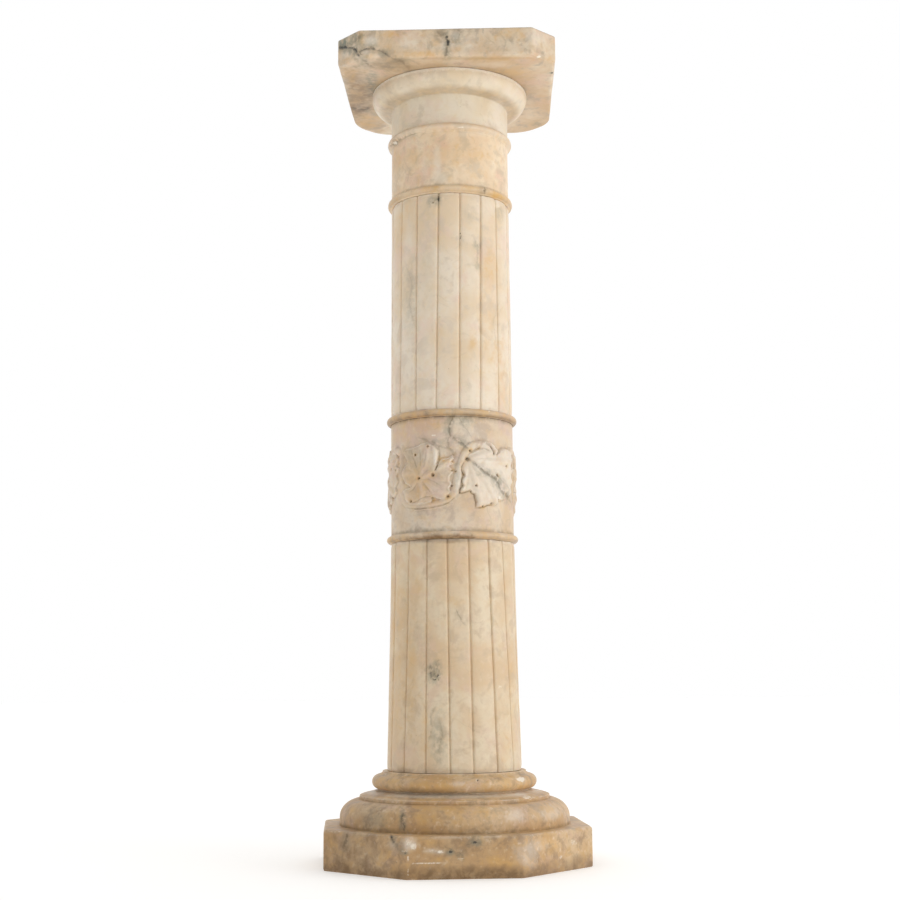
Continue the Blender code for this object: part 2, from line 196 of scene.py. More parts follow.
BLOTCHES = {
    "smoke": {
        # The blotch at (372, 85) is painted shade on the slab's underside beside the echinus
        "top_slab": (
            (345, 44, 11, 9, 1.0), (352, 43, 17, 11, 0.6), (356, 38, 10, 8, 0.7), (354, 51, 9, 6, 0.6),
            (373, 45, 6, 4, 0.45), (385, 53, 7, 5, 0.5), (399, 61, 12, 4, 0.45), (362, 62, 8, 8, 0.4),
            (444, 33, 7, 5, 0.5), (447, 50, 5, 10, 0.5), (457, 38, 7, 8, 0.4), (372, 85, 7, 13, 0.8),
            (384, 66, 14, 6, 0.4), (361, 109, 14, 4, 0.4), (538, 124, 6, 3, 0.5), (552, 73, 3, 1.5, 0.8),
        ),
        "upper_shaft": (
            (435, 201, 9, 6, 0.5), (438.5, 199, 3.5, 5, 0.7), (476.5, 246, 4, 5, 0.35),
            (476.5, 267, 4, 5, 0.3), (410, 300, 9, 40, 0.2), (470, 215, 8, 10, 0.15),
            (428, 250, 8, 60, 0.12), (500, 213, 5, 9, 0.3),
        ),
        "collar": ((395, 142, 5, 5, 0.35), (404, 172, 12, 9, 0.12), (420, 180, 14, 5, 0.15)),
        "capital": ((395, 118, 8, 14, 0.1),),
        "vine_drum": (
            (414, 457, 12, 12, 0.22), (452, 420, 8, 8, 0.35), (448, 431, 5, 5, 0.45),
            (458, 441, 12, 6, 0.35), (434, 442, 12, 4, 0.35), (488, 473, 14, 5, 0.4), (497, 480, 7, 8, 0.5),
            (506, 494, 7, 9, 0.35), (457, 478, 4, 20, 0.3), (464, 420, 9, 6, 0.45), (420, 530, 24, 4, 0.15),
            (427.5, 413, 4, 3, 0.4), (452.5, 411, 1.6, 4, 0.5),
        ),
        "lower_shaft": ((434.5, 673, 8, 13, 0.6), (438, 738, 8, 32, 0.4), (420, 640, 12, 20, 0.12)),
        "base": (
            (403, 822, 5, 12, 0.6), (376, 819, 14, 12, 0.4), (346, 843, 4, 12, 0.5), (396, 845, 7, 9, 0.4),
            (405, 853, 5, 2.5, 0.7), (450, 852.5, 6, 4, 0.8), (476, 841.5, 9, 6, 0.65),
            (461, 856, 5, 6, 0.4), (402, 851, 3, 4, 0.5), (440, 877, 8, 2, 0.5), (455, 796, 60, 4, 0.25),
        ),
    },
    "rust": {
        "top_slab": (
            (361, 38, 4, 8, 0.55), (391, 34, 12, 4, 0.5), (424, 54, 18, 5, 0.6), (435, 42, 6, 5, 0.4),
            (371, 56, 6, 3, 0.45), (352, 77, 5, 7, 0.7), (358, 96, 11, 10, 0.5), (368, 122, 14, 7, 0.4),
            (510, 34, 16, 6, 0.45), (500, 58.5, 46, 2, 0.45), (535, 58, 10, 4, 0.4), (512, 72, 30, 3, 0.3),
        ),
        "upper_shaft": (
            (489, 316, 10, 14, 0.35), (497, 352, 8, 14, 0.6), (473, 344, 5, 8, 0.45),
            (490, 268, 8, 24, 0.45), (488, 330, 9, 40, 0.3), (399, 235, 8, 22, 0.3),
            (503, 380, 6, 30, 0.35), (408, 205, 6, 12, 0.3),
        ),
        "collar": (
            (497, 198, 14, 6, 0.65), (432, 188, 7, 3, 0.6), (450, 150, 40, 12, 0.2), (455, 162, 8, 5, 0.35),
            (414, 158, 7, 14, 0.3), (396, 162, 7, 24, 0.35), (480, 155, 14, 10, 0.25),
        ),
        "vine_drum": (
            (424, 424, 22, 9, 0.35), (425, 489, 8, 12, 0.35), (419, 493, 4, 8, 0.5),
            (445.5, 459.5, 8, 5, 0.8), (400, 436, 9, 9, 0.25), (432, 502, 10, 3, 0.4),
            (414, 480, 10, 8, 0.25), (444.5, 459, 6, 3, 0.6), (392, 541, 8, 5, 0.5),
        ),
        "lower_shaft": (
            (398, 640, 14, 110, 0.3), (414, 600, 8, 90, 0.2), (456, 602, 9, 6, 0.4),
            (411, 675, 9, 60, 0.35), (512, 700, 6, 60, 0.3), (425, 725, 5, 30, 0.3),
            (506, 745, 10, 20, 0.35),
        ),
        "base": (
            (499, 862, 12, 5, 0.6), (430, 786, 50, 3, 0.4), (386, 782, 20, 9, 0.55),
            (514, 784, 22, 9, 0.65), (470, 814, 46, 14, 0.35), (545, 814, 18, 12, 0.4),
            (490, 812, 12, 12, 0.55), (548, 845, 12, 8, 0.5), (505, 863, 16, 4, 0.7),
            (441, 859, 8, 2.5, 0.7), (430, 842, 14, 4, 0.5), (360, 842, 5, 6, 0.55), (330, 842, 3, 7, 0.5),
            (333, 866, 8, 3, 0.45), (388, 852, 3, 6, 0.5), (420, 818, 12, 8, 0.35), (352, 812, 5, 7, 0.45),
            (545, 832, 14, 4, 0.4),
        ),
    },
    "chalk": {
        "top_slab": ((539, 56.7, 2.2, 1.4, 0.9), (359, 47, 2.5, 2.5, 0.35), (344, 71, 1.5, 12, 0.2)),
        "collar": (
            (395, 143, 3.5, 2.2, 0.75), (461, 127.5, 4, 0.8, 0.5), (418, 132, 6, 0.8, 0.3),
            (493, 164, 2, 4, 0.3),
        ),
        "upper_shaft": (
            (497.8, 205.8, 3.0, 2.4, 0.6), (495, 202.6, 2, 1.4, 0.4), (460.4, 250, 0.9, 20, 0.35),
        ),
        "capital": ((434.9, 67.2, 5, 0.8, 0.7),),
        "vine_drum": (
            (433.5, 435.2, 3.2, 1.0, 0.8), (489, 411.5, 1.1, 2.5, 0.5), (499.7, 497.5, 1.2, 2.4, 0.7),
            (435.4, 456, 1.4, 9, 0.3),
        ),
        "lower_shaft": ((500, 687, 2.5, 2.5, 0.4), (403, 630, 1.5, 1.2, 0.5)),
        "base": (
            (521, 779.4, 5.5, 2.8, 0.9), (527, 797, 7, 1.8, 0.55), (409, 842, 4, 3.5, 0.45),
            (413, 846.5, 4, 4, 0.5), (405.5, 851, 4, 1.2, 0.4), (441, 852, 4, 2, 0.75),
            (432, 851, 8, 1.6, 0.4), (424.5, 848, 5, 1.2, 0.35), (428, 863.3, 20, 0.6, 0.55),
            (408, 859, 1.2, 4, 0.55), (408, 872, 0.8, 7, 0.4), (461, 858.5, 5, 0.9, 0.6),
            (574, 842, 5, 3.5, 0.3), (561, 856.5, 2.2, 2.5, 0.5), (490.5, 808.5, 3, 1.6, 0.4),
            (335, 831.5, 12, 0.6, 0.4), (384, 811, 4, 1.5, 0.35), (385, 774, 2, 1.5, 0.3),
        ),
    },
    "mist": {
        "top_slab": (
            (370, 41, 7, 6, 0.6), (407, 41, 10, 7, 0.45), (443.5, 46, 3, 5, 0.5), (452, 47, 4, 5, 0.45),
            (455, 36, 4, 4, 0.45), (470, 42, 8, 8, 0.45), (535, 38, 12, 8, 0.35), (365, 52, 5, 3, 0.4),
            (345, 55, 6, 5, 0.3), (490, 65, 26, 3, 0.35), (376, 56, 6, 3, 0.35),
        ),
        "collar": (
            (437, 162, 5, 20, 0.5), (440, 178, 9, 6, 0.4), (425, 165, 4, 14, 0.2), (470, 134, 26, 3, 0.25),
            (475, 170, 14, 8, 0.2),
        ),
        "vine_drum": (
            (463, 456, 4, 6, 0.4), (458.5, 478, 4.5, 22, 0.6), (435.4, 458, 2.2, 11, 0.5),
            (454, 545, 24, 3, 0.3), (452, 531, 12, 3, 0.4), (486, 463, 9, 6, 0.35), (470, 434, 8, 6, 0.25),
            (500, 440, 12, 8, 0.2),
        ),
        "upper_shaft": (
            (506, 222, 4, 14, 0.3), (448, 330, 8, 60, 0.2), (427, 350, 9, 60, 0.3), (408, 360, 7, 50, 0.3),
            (427, 260, 9, 40, 0.2), (408, 240, 6, 30, 0.2),
        ),
        "capital": (
            (497, 110, 10, 20, 0.55), (510, 92, 10, 12, 0.2), (397, 112, 5, 14, 0.3),
            (440, 106, 24, 10, 0.2),
        ),
        "lower_shaft": ((463, 640, 8, 50, 0.15),),
        "base": (
            (513, 815, 12, 9, 0.5), (538, 812, 18, 12, 0.2), (550, 812, 14, 10, 0.4),
            (500, 815, 50, 12, 0.12), (538, 846, 10, 8, 0.3), (392, 843, 5, 8, 0.25),
            (441, 852, 7, 3, 0.35), (409, 844, 8, 9, 0.7), (527, 853, 14, 18, 0.35), (432, 851, 10, 3, 0.4),
            (460, 784, 16, 2.5, 0.3), (520, 795, 14, 3, 0.35),
        ),
    },
    # Brown blotches, part staining and part painted shade: in the creases under the rounds and beads, at the
    # drum's foot, in the capital's quirk and on the slab's left underside
    "soil": {
        "capital": ((383, 92, 13, 18, 0.22), (400, 84, 26, 8, 0.1)),
        "top_slab": (
            (356, 96, 16, 30, 0.65), (392, 64, 26, 7, 0.4), (440, 33, 8, 4, 0.35), (372, 126, 16, 8, 0.25),
            (460, 58.5, 70, 1.6, 0.3),
        ),
        "collar": ((396, 160, 7, 40, 0.12),),
        "vine_drum": (
            (447, 538.5, 34, 4.5, 0.95), (418, 540, 24, 4, 0.6), (405, 538, 10, 3, 0.4),
            (408, 518, 18, 14, 0.14),
        ),
        "lower_shaft": (
            (440, 540.5, 60, 2.2, 0.6), (410, 650, 14, 110, 0.12), (404, 771, 10, 4, 0.5),
            (450, 771, 30, 3, 0.25),
        ),
        "base": (
            (352, 850, 44, 30, 0.65), (440, 850, 60, 26, 0.3), (365, 812, 30, 22, 0.4),
            (384, 782, 18, 9, 0.3), (430, 815, 50, 14, 0.12), (392, 783, 24, 12, 0.15),
            (450, 872, 90, 10, 0.45), (400, 791, 60, 2.5, 0.3), (370, 830, 40, 2.5, 0.6),
            (402, 846, 4, 6, 0.5), (385, 776, 10, 3, 0.3),
        ),
    },
    "pit": {
        "top_slab": (
            (552, 73, 1.6, 1.1, 1.0), (460.5, 63.8, 2.4, 0.7, 0.5), (447.4, 42, 1.3, 3, 0.6),
            (345, 46.5, 1.5, 1.2, 0.8), (353.5, 47.6, 2, 1.2, 0.8), (359, 55.5, 1.2, 2, 0.6),
            (385, 53.8, 1.4, 1.2, 0.6), (371.5, 48.8, 1.8, 0.9, 0.5),
        ),
        "capital": ((477.6, 68.7, 2.0, 0.7, 0.4),),
        "upper_shaft": (
            (433.2, 202.3, 1.4, 1.6, 0.8), (438.5, 198.5, 1.2, 3.5, 0.7), (460.5, 233.7, 0.8, 1.0, 0.8),
            (460.5, 238.3, 0.8, 1.0, 0.8),
        ),
        "lower_shaft": (
            (430.8, 672, 1.1, 5, 0.6), (434, 673.5, 1.0, 3, 0.5), (437.8, 675.5, 1.5, 2.6, 0.7),
            (434.5, 680, 2.8, 1.3, 0.75), (438.6, 680.4, 1.4, 1.3, 0.7), (481, 673.7, 1.0, 0.9, 0.9),
            (428, 693, 1.0, 6, 0.5),
        ),
        "base": (
            (477.7, 780.4, 1.3, 0.9, 1.0), (475, 842.5, 2.6, 2.2, 0.75), (450.5, 852, 3, 2.2, 0.65),
            (405, 853, 2, 1.6, 0.55), (403, 817, 1.2, 3, 0.5), (460, 858.4, 3.2, 0.8, 0.6),
            (391.5, 837.5, 1.2, 2, 0.7), (346.6, 836, 1.0, 3, 0.7), (403, 842, 2, 1.2, 0.4),
        ),
    },
}
DENTS = {
    "collar": ((395, 142.5, 5.0, 1.6), (484.6, 190.5, 2.2, 1.4), (499, 203, 7.0, 1.1)),
    "base": ((521, 779, 7.0, 0.9), (477.7, 780.4, 1.6, 2.0), (410, 846, 9.0, 0.6), (426, 863.5, 9.0, 0.5)),
    "lower_shaft": (
        (434, 674, 6.0, 1.1), (431.4, 671, 2.5, 1.0), (436.8, 676, 2.6, 1.2), (481, 673.7, 1.2, 1.0),
    ),
    "upper_shaft": ((460.5, 236, 1.6, 0.7), (433.2, 202.3, 1.8, 0.8), (497.2, 206, 3.0, 0.4)),
}

# The vine, traced where the photograph shows it: two leaves, a stem, undercut lines and drill holes
RISING_LEAF = dict(
    brow=2.2,
    pale=0.0,
    edge=(
        (427, 441.5), (433, 445), (437.4, 450), (437.8, 457), (436.5, 463.5), (441, 458), (448, 457),
        (452.5, 454.6), (454.4, 458.4), (451.5, 461.2), (455, 463.8), (449.5, 466), (452.2, 468),
        (454, 472), (450.4, 476), (450, 480.5), (453.2, 484), (449.6, 488), (451.8, 491.6), (448.4, 495.6),
        (444.5, 499.6), (439, 500), (433.8, 497.8), (431.8, 502), (424, 504.4), (416, 505.2), (410, 504.8),
        (405.8, 501.8), (403.6, 497), (401.9, 491), (405, 487.8), (409.5, 487.2), (404, 484), (401.6, 478),
        (401.2, 471), (403.2, 466), (407, 463), (404.4, 457), (402.2, 452.5), (405, 448.4), (411, 447.5),
        (417, 445), (421, 442.8),
    ),
    ribs=(
        ((433.6, 472), (436, 462), (436, 454), (434.4, 447)),
        ((420, 479), (425, 465), (428, 446)),
        ((420, 479), (411, 467), (404.5, 453.5)),
        ((420, 479), (411, 489), (405.5, 499)),
        ((420, 479), (434, 489), (446.5, 495.5)),
        ((420, 479), (437, 470), (452, 459.5)),
        ((420, 479), (423, 492), (421, 502.5)),
        ((415, 473), (408, 474), (402.5, 475)),
    ),
)
HANGING_LEAF = dict(
    brow=1.1,
    pale=0.9,
    edge=(
        (464.6, 461), (462.2, 466), (462.7, 470), (464.6, 475), (462.6, 479), (461.8, 482), (463.6, 485.5),
        (460.8, 489), (460, 492.6), (464.5, 491.6), (470.2, 489.8), (472.2, 492.6), (475.2, 493.8),
        (475.8, 497.5), (477.2, 501.8), (476.8, 507.2), (480, 507), (484, 506.4), (488, 504.6),
        (492, 504.2), (495.2, 505.6), (499, 503.4), (498.4, 499.8), (502, 501), (505.4, 499.4), (506, 495),
        (510, 496), (512.4, 492), (511, 487), (513, 482), (511.6, 476), (513.6, 470), (511.4, 466),
        (513, 460), (511, 453), (508, 449), (503, 448), (500, 450), (498.4, 453), (497.6, 449),
        (495.2, 445), (491.4, 441.8), (486.4, 440.8), (482, 442.4), (480, 448), (474, 451.2), (470, 452.6),
        (467, 456),
    ),
    ribs=(
        ((467.5, 460), (464.8, 474), (462.2, 490)),
        ((467.5, 460), (475, 480), (481, 505)),
        ((467.5, 460), (486, 481), (496, 502)),
        ((467.5, 460), (490, 473), (509, 491)),
        ((467.5, 460), (490, 462), (510, 462)),
        ((467.5, 460), (483, 455), (504, 451)),
    ),
)
STEM = (
    (400.3, 449), (399.9, 458), (399.9, 470), (400, 482), (400.3, 492), (402.2, 500), (407, 505.6),
    (416, 506.8), (424, 506), (432, 505), (440, 503.6), (446.5, 500.8), (452, 496.4), (455.2, 490),
    (457, 482), (458.2, 474), (460, 467), (463, 459), (465.6, 452.5), (469.4, 447.6), (475, 444.8),
    (481, 443.6), (485.5, 444.2),
)
STEM_LINK = ((62, 0.5185), (67, 0.5195), (72.5, 0.517))
UNDERCUTS = (
    (4.2, 1.5, ((487, 443.2), (490, 444.8), (492.2, 447.8), (493.4, 451), (493.6, 454))),
    (3.0, 1.3, ((497, 454.6), (498.6, 452))),
    (1.4, 1.0, ((479, 449.2), (484.5, 448.4), (488.5, 450.4))),
    (2.2, 1.0, ((438.4, 446.5), (439.4, 455), (438, 463), (435.6, 470))),
    (1.4, 0.6, ((439.5, 457.6), (446, 456.8), (451, 456))),
    (2.0, 0.7, ((463.6, 463), (461.4, 467), (461.8, 471), (464, 475.4), (461.8, 480), (462.8, 485.6),
        (460, 489), (459.4, 493))),
    (2.0, 0.7, ((460, 493.4), (465, 492.4), (470.4, 490.6), (471.8, 493.4), (474.6, 494.4), (475, 498),
        (476.4, 502.4), (476, 507.8), (480.4, 507.8), (485, 507), (489, 505.2), (493, 505))),
    (1.2, 0.7, ((405.4, 458), (406.4, 461.5), (407.4, 464))),
    (1.0, 0.6, ((404, 488.6), (408.8, 487.4), (412, 486.6))),
    (1.7, 1.2, ((406, 508), (412, 508.8), (420, 508.6), (428, 507.8), (436, 506.6), (443, 505),
        (449, 502.4), (454, 498.4))),
    (1.6, 0.7, ((431.8, 498.4), (431.6, 502))),
    (0.9, 0.8, ((412, 503), (419, 500.2), (425, 497), (430, 496.4))),
    (1.0, 0.6, ((398.4, 470), (398.2, 479))),
    (0.8, 0.9, ((411.5, 450.5), (413.5, 458), (416.5, 467))),
    (0.7, 0.8, ((419.5, 447.5), (420.5, 456), (420.5, 465))),
    (0.9, 0.9, ((426.5, 449), (426.2, 457), (424.5, 466))),
    (0.8, 0.9, ((408, 494), (413.5, 489.5), (417.5, 484))),
    (0.7, 0.9, ((431.5, 493.5), (427, 487.5), (423.5, 482))),
    (0.6, 0.8, ((441, 486), (434, 481.5), (427, 478.8))),
)
DRILLED = (
    (419.5, 478.4, 1.3), (432.8, 474.8, 1.7), (415.4, 454.9, 0.9), (427.9, 446.5, 0.9), (438.9, 457.9, 1.0),
    (453.8, 454.2, 1.1), (452.4, 461.4, 0.9), (452.2, 470.3, 1.2), (455.7, 471.4, 0.8), (451.7, 485.5, 1.4),
    (447.8, 496.2, 1.5), (432.2, 498, 1.3), (410.3, 501.1, 1.3), (397.3, 463.8, 1.1), (467.5, 459.3, 2.2),
    (470.2, 450.6, 1.2), (479.4, 448.6, 1.0), (476.1, 485.6, 1.1), (483.4, 506, 1.2), (492.2, 503.4, 1.4),
    (460, 492.6, 1.1), (497, 475.4, 1.4), (506.1, 466.3, 1.1), (498.6, 499.8, 0.8), (506.1, 494.8, 1.1),
    (511.7, 470, 0.8), (463.9, 474.6, 0.9), (462.6, 485, 0.9), (471.4, 491.4, 0.9),
)
VINE_SPAN = (math.radians(-61.0), math.radians(72.0))
STEM_HALF_WIDTH = 5.1
STEM_PROUD = 3.4
LEAF_PROUD = 3.1
DRILL_DEPTH = 3.4

# Kinds of mark that a stone carries as attributes, beside its traced veins and its darkened hollows, part
# staining and part painted shade
MARK_KINDS = ("vein_ink", "smoke", "rust", "chalk", "mist", "pit", "soil", "calm")
FAR = 99.0

# Turns about the axis at which a stone's marks show again, fainter, on the sides that the photograph hides
HIDDEN_TURNS = {"top_slab": (90, 180, -90), "base": (135, -135)}
ROUND_TURNS = (116, -122)
HIDDEN_STRENGTH = 0.65

# Seeds of the noise: each stone's wear, the raggedness of the marks, and the darkening of single stones
WEAR_SEEDS = {"base": 11, "lower_shaft": 23, "vine_drum": 37, "upper_shaft": 41, "collar": 53, "capital": 61,
              "top_slab": 71}
RAGGED_SEED = 401
RAGGED_FINE_SEED = 409
PLINTH_FOOT_SEED = 301
SHAFT_DARK_SEED = 501
HOLE_DARK_SEED = 77
VINE_SEED = 91

# Each stone's finish: its name, the pale and the warm ground, dusky and blushing clouds, golden freckles, how
# lively the freckles and how strong the ghost veins are, the shift of its noise, and its roughness
FINISHES = {
    "base": ("honey_alabaster", "#d0b48e", "#bf9a6b", "#94795a", "#c4a48a", "#c59d62", 0.6, 0.2, 0.2, 0.48),
    "lower_shaft": ("lower_reeds_alabaster", "#ddccb0", "#d4b995", "#c5ae90", "#d5b99f", "#d7b98b", 0.25,
                    0.1, 1.4),
    "vine_drum": ("carved_alabaster", "#dccdb8", "#d0b695", "#b8a490", "#cfb3a4", "#d8ba8c", 0.4, 0.2, 2.6),
    "upper_shaft": ("upper_reeds_alabaster", "#e6d8c3", "#dfc9aa", "#d1c0aa", "#e2c8b3", "#e0c69a", 0.25,
                    0.1, 3.9),
    "collar": ("peach_alabaster", "#ead6b9", "#e0c39f", "#c9b497", "#dfbaa0", "#e2c18f", 0.45, 0.15, 4.7),
    "capital": ("ivory_alabaster", "#e2d6c1", "#dbc9ac", "#ccbda6", "#dfc9b4", "#e0cba2", 0.25, 0.1, 5.8),
    "top_slab": ("veined_alabaster", "#dac8ae", "#caac86", "#a99883", "#d2b29a", "#d0aa76", 0.38, 0.15,
                 6.3, 0.46),
}

# Colours of the marks
FLECK = "#f6e8d2"
GHOST_VEIN = "#91866f"
RUST = "#d6a962"
# Pale patches, also laid on as painted highlights and painted light
MIST_AND_HIGHLIGHT = "#eae0d1"
SMOKE = "#7f8273"
VEIN_HALO = "#857b66"
FAINT_VEIN = "#7b6b55"
DARK_VEIN = "#34342d"
# The brown colour and the two hollow colours here paint staining and painted shade alike
SOIL_AND_SHADE = "#7c5f3b"
GRIME_AND_SHADE = "#76603c"
DEEP_GRIME_AND_SHADE = "#3a3229"
CHALK = "#efe6d6"
PIT = "#37322c"
PINHOLE = "#6b5238"

# Stage: floor, surround and key light
FLOOR_REACH = 14.0
FLOOR_COLOUR = "#f4f3f1"
FLOOR_GLOW = 0.24
SURROUND_BRIGHT_SIDE = (0.45, 0.75, 0.15)
SURROUND_STRENGTH = (0.58, 1.0)
KEY_PLACE = (2.4, -1.5, 0.65)
KEY_AIM = (0, 0, 0.5)
KEY_SIZE = 1.7
KEY_WATTS = 20.0
KEY_COLOUR = (1.0, 0.975, 0.94)


def lattice(cells, seed):
    """A steady random share from 0 to 1 for every whole-numbered place."""
    mixed = cells[..., 0] * 374761393 + cells[..., 1] * 668265263 + cells[..., 2] * 1274126177 + seed * 974711
    mixed = (mixed ^ (mixed >> 13)) * 1103515245
    return ((mixed ^ (mixed >> 16)) & 0xFFFFFF) / 0xFFFFFF


def noise(points, size, seed, octaves=2):
    """Soft random field from -1 to 1: random heights on a lattice, blended smoothly between its corners and
    summed at halving sizes."""
    total = 0.0
    reach = 0.0
    for octave in range(octaves):
        place = points / size * 2 ** octave
        cell = np.floor(place)
        part = place - cell
        part = part * part * (3 - 2 * part)
        cell = cell.astype(np.int64)
        value = 0.0
        for corner in np.ndindex(2, 2, 2):
            corner = np.array(corner)
            share = np.prod(np.where(corner == 1, part, 1 - part), axis=-1)
            value = value + share * lattice(cell + corner, seed + octave)
        total = total + value * 0.5 ** octave
        reach += 0.5 ** octave
    return total / reach * 2 - 1


def smooth(low, high, value):
    """0 below low, 1 above high and an eased climb between them."""
    share = np.clip((value - low) / (high - low), 0, 1)
    return share * share * (3 - 2 * share)


def around(radius, angle, z):
    """Points at an angle from the front, counted towards +X, round the column's axis."""
    radius, angle, z = np.broadcast_arrays(radius, angle, z)
    return np.stack((radius * np.sin(angle), -radius * np.cos(angle), z), axis=-1)


def view_frame():
    """Where the photograph was taken from, and the picture's right, up and forward directions."""
    sin_turn, cos_turn = math.sin(VIEW_TURN), math.cos(VIEW_TURN)
    sin_pitch, cos_pitch = math.sin(VIEW_PITCH), math.cos(VIEW_PITCH)
    sin_roll, cos_roll = math.sin(VIEW_ROLL), math.cos(VIEW_ROLL)
    level = np.array((cos_turn, -sin_turn, 0.0))
    upright = np.array((-sin_turn * sin_pitch, -cos_turn * sin_pitch, cos_pitch))
    forward = np.array((sin_turn * cos_pitch, cos_turn * cos_pitch, sin_pitch))
    place = np.array((-sin_turn, -cos_turn, 0.0)) * VIEW_DISTANCE + level * VIEW_SIDESTEP
    place[2] = VIEW_HEIGHT
    return place, level * cos_roll - upright * sin_roll, level * sin_roll + upright * cos_roll, forward


VIEW_PLACE, VIEW_RIGHT, VIEW_UP, VIEW_FORWARD = view_frame()


def in_picture(points):
    """Pixels across and down at which the photograph's camera sees points."""
    away = points - VIEW_PLACE
    depth = away @ VIEW_FORWARD
    across = PICTURE_SIDE / 2 + FOCAL_PIXELS * (away @ VIEW_RIGHT) / depth
    down = PICTURE_SIDE / 2 - FOCAL_PIXELS * (away @ VIEW_UP) / depth
    return across, down


def on_drum(pixels, radius):
    """Angle from the front and height at which the sight lines through pixels meet a round wall."""
    pixels = np.atleast_2d(np.array(pixels, dtype=float))
    across = (pixels[:, :1] - PICTURE_SIDE / 2) / FOCAL_PIXELS
    down = (pixels[:, 1:2] - PICTURE_SIDE / 2) / FOCAL_PIXELS
    ray = VIEW_FORWARD + VIEW_RIGHT * across - VIEW_UP * down
    a = ray[:, 0] ** 2 + ray[:, 1] ** 2
    b = ray[:, 0] * VIEW_PLACE[0] + ray[:, 1] * VIEW_PLACE[1]
    c = VIEW_PLACE[0] ** 2 + VIEW_PLACE[1] ** 2 - radius ** 2
    far = (-b - np.sqrt(np.maximum(b * b - a * c, 0))) / a
    hit = VIEW_PLACE + ray * far[:, None]
    return np.stack((np.arctan2(hit[:, 0], -hit[:, 1]), hit[:, 2]), axis=-1)


def along_route(across, down, route):
    """Distance to a route of straight runs, the side of it as 1 or -1, and the share of its length passed."""
    steps = np.diff(np.array(route, dtype=float), axis=0)
    lengths = np.hypot(steps[:, 0], steps[:, 1])
    passed = np.concatenate(([0], np.cumsum(lengths)))
    nearest = np.full(across.shape, 1e9)
    side = np.ones(across.shape)
    share = np.zeros(across.shape)
    for (ax, ay), (dx, dy), length, before in zip(route, steps, lengths, passed):
        part = np.clip(((across - ax) * dx + (down - ay) * dy) / length ** 2, 0, 1)
        gap = np.hypot(across - ax - part * dx, down - ay - part * dy)
        nearer = gap < nearest
        nearest = np.where(nearer, gap, nearest)
        side = np.where(nearer, np.where(dx * (down - ay) - dy * (across - ax) < 0, -1.0, 1.0), side)
        share = np.where(nearer, (before + part * length) / passed[-1], share)
    return nearest, side, share


def inside(across, down, corners):
    """True for places inside a closed outline, by counting how often a line to the right crosses it."""
    crossed = np.zeros(across.shape, dtype=bool)
    for (ax, ay), (bx, by) in zip(corners, corners[1:] + corners[:1]):
        spans = (ay > down) != (by > down)
        if ay != by:
            crossed ^= spans & (across < ax + (down - ay) * (bx - ax) / (by - ay))
    return crossed


def filled(profile, spacing):
    """A profile of (radius, z) points with points added so that none lie further apart than the spacing."""
    rows = [profile[0]]
    for (r0, z0), (r1, z1) in zip(profile, profile[1:]):
        count = max(1, math.ceil(math.hypot(r1 - r0, z1 - z0) / spacing - 0.01))
        rows += [(r0 + (r1 - r0) * k / count, z0 + (z1 - z0) * k / count) for k in range(1, count + 1)]
    return rows


def curve(middle_r, middle_z, half_r, half_z, start, end, spacing):
    """Profile points along part of an ellipse, from one angle to another, in degrees."""
    length = math.radians(abs(end - start)) * (half_r + half_z) / 2
    angles = np.radians(np.linspace(start, end, max(3, math.ceil(length / spacing) + 1)))
    return [(middle_r + half_r * math.cos(a), middle_z + half_z * math.sin(a)) for a in angles]


def bead(wall, radius, z, height, spacing=ROW):
    """Half-round bead on a wall."""
    return curve(wall, z + height / 2, radius - wall, height / 2, -90, 90, spacing)


def capped(profile, inner=(0.45, 0.85)):
    """A profile with a flat underside and a flat top, as rings between the axis and its ends."""
    foot_r, foot_z = profile[0]
    head_r, head_z = profile[-1]
    return [(foot_r * share, foot_z) for share in inner] + profile + \
        [(head_r * share, head_z) for share in reversed(inner)]


def outward(grid):
    """Directions that stand square to a grid's surface, from the runs between each point's neighbours."""
    along = np.roll(grid, -1, axis=1) - np.roll(grid, 1, axis=1)
    upward = np.empty_like(grid)
    upward[1:-1] = grid[2:] - grid[:-2]
    upward[0] = grid[1] - grid[0]
    upward[-1] = grid[-1] - grid[-2]
    square = np.cross(along, upward)
    return square / np.maximum(np.linalg.norm(square, axis=-1, keepdims=True), 1e-12)


def hollowness(grid, directions, reach):
    """How far each point lies below its neighbours some steps away: plus in a hollow, minus on an edge."""
    rows = np.arange(len(grid))
    above = grid[np.minimum(rows + reach, len(grid) - 1)]
    below = grid[np.maximum(rows - reach, 0)]
    across = np.roll(grid, reach, axis=1) + np.roll(grid, -reach, axis=1)
    return (((above + below + across) / 4 - grid) * directions).sum(axis=-1)


def turned(points, angle):
    """Points turned about the column's axis."""
    sin, cos = math.sin(angle), math.cos(angle)
    x, y = points[..., 0], points[..., 1]
    return np.stack((x * cos - y * sin, x * sin + y * cos, points[..., 2]), axis=-1)


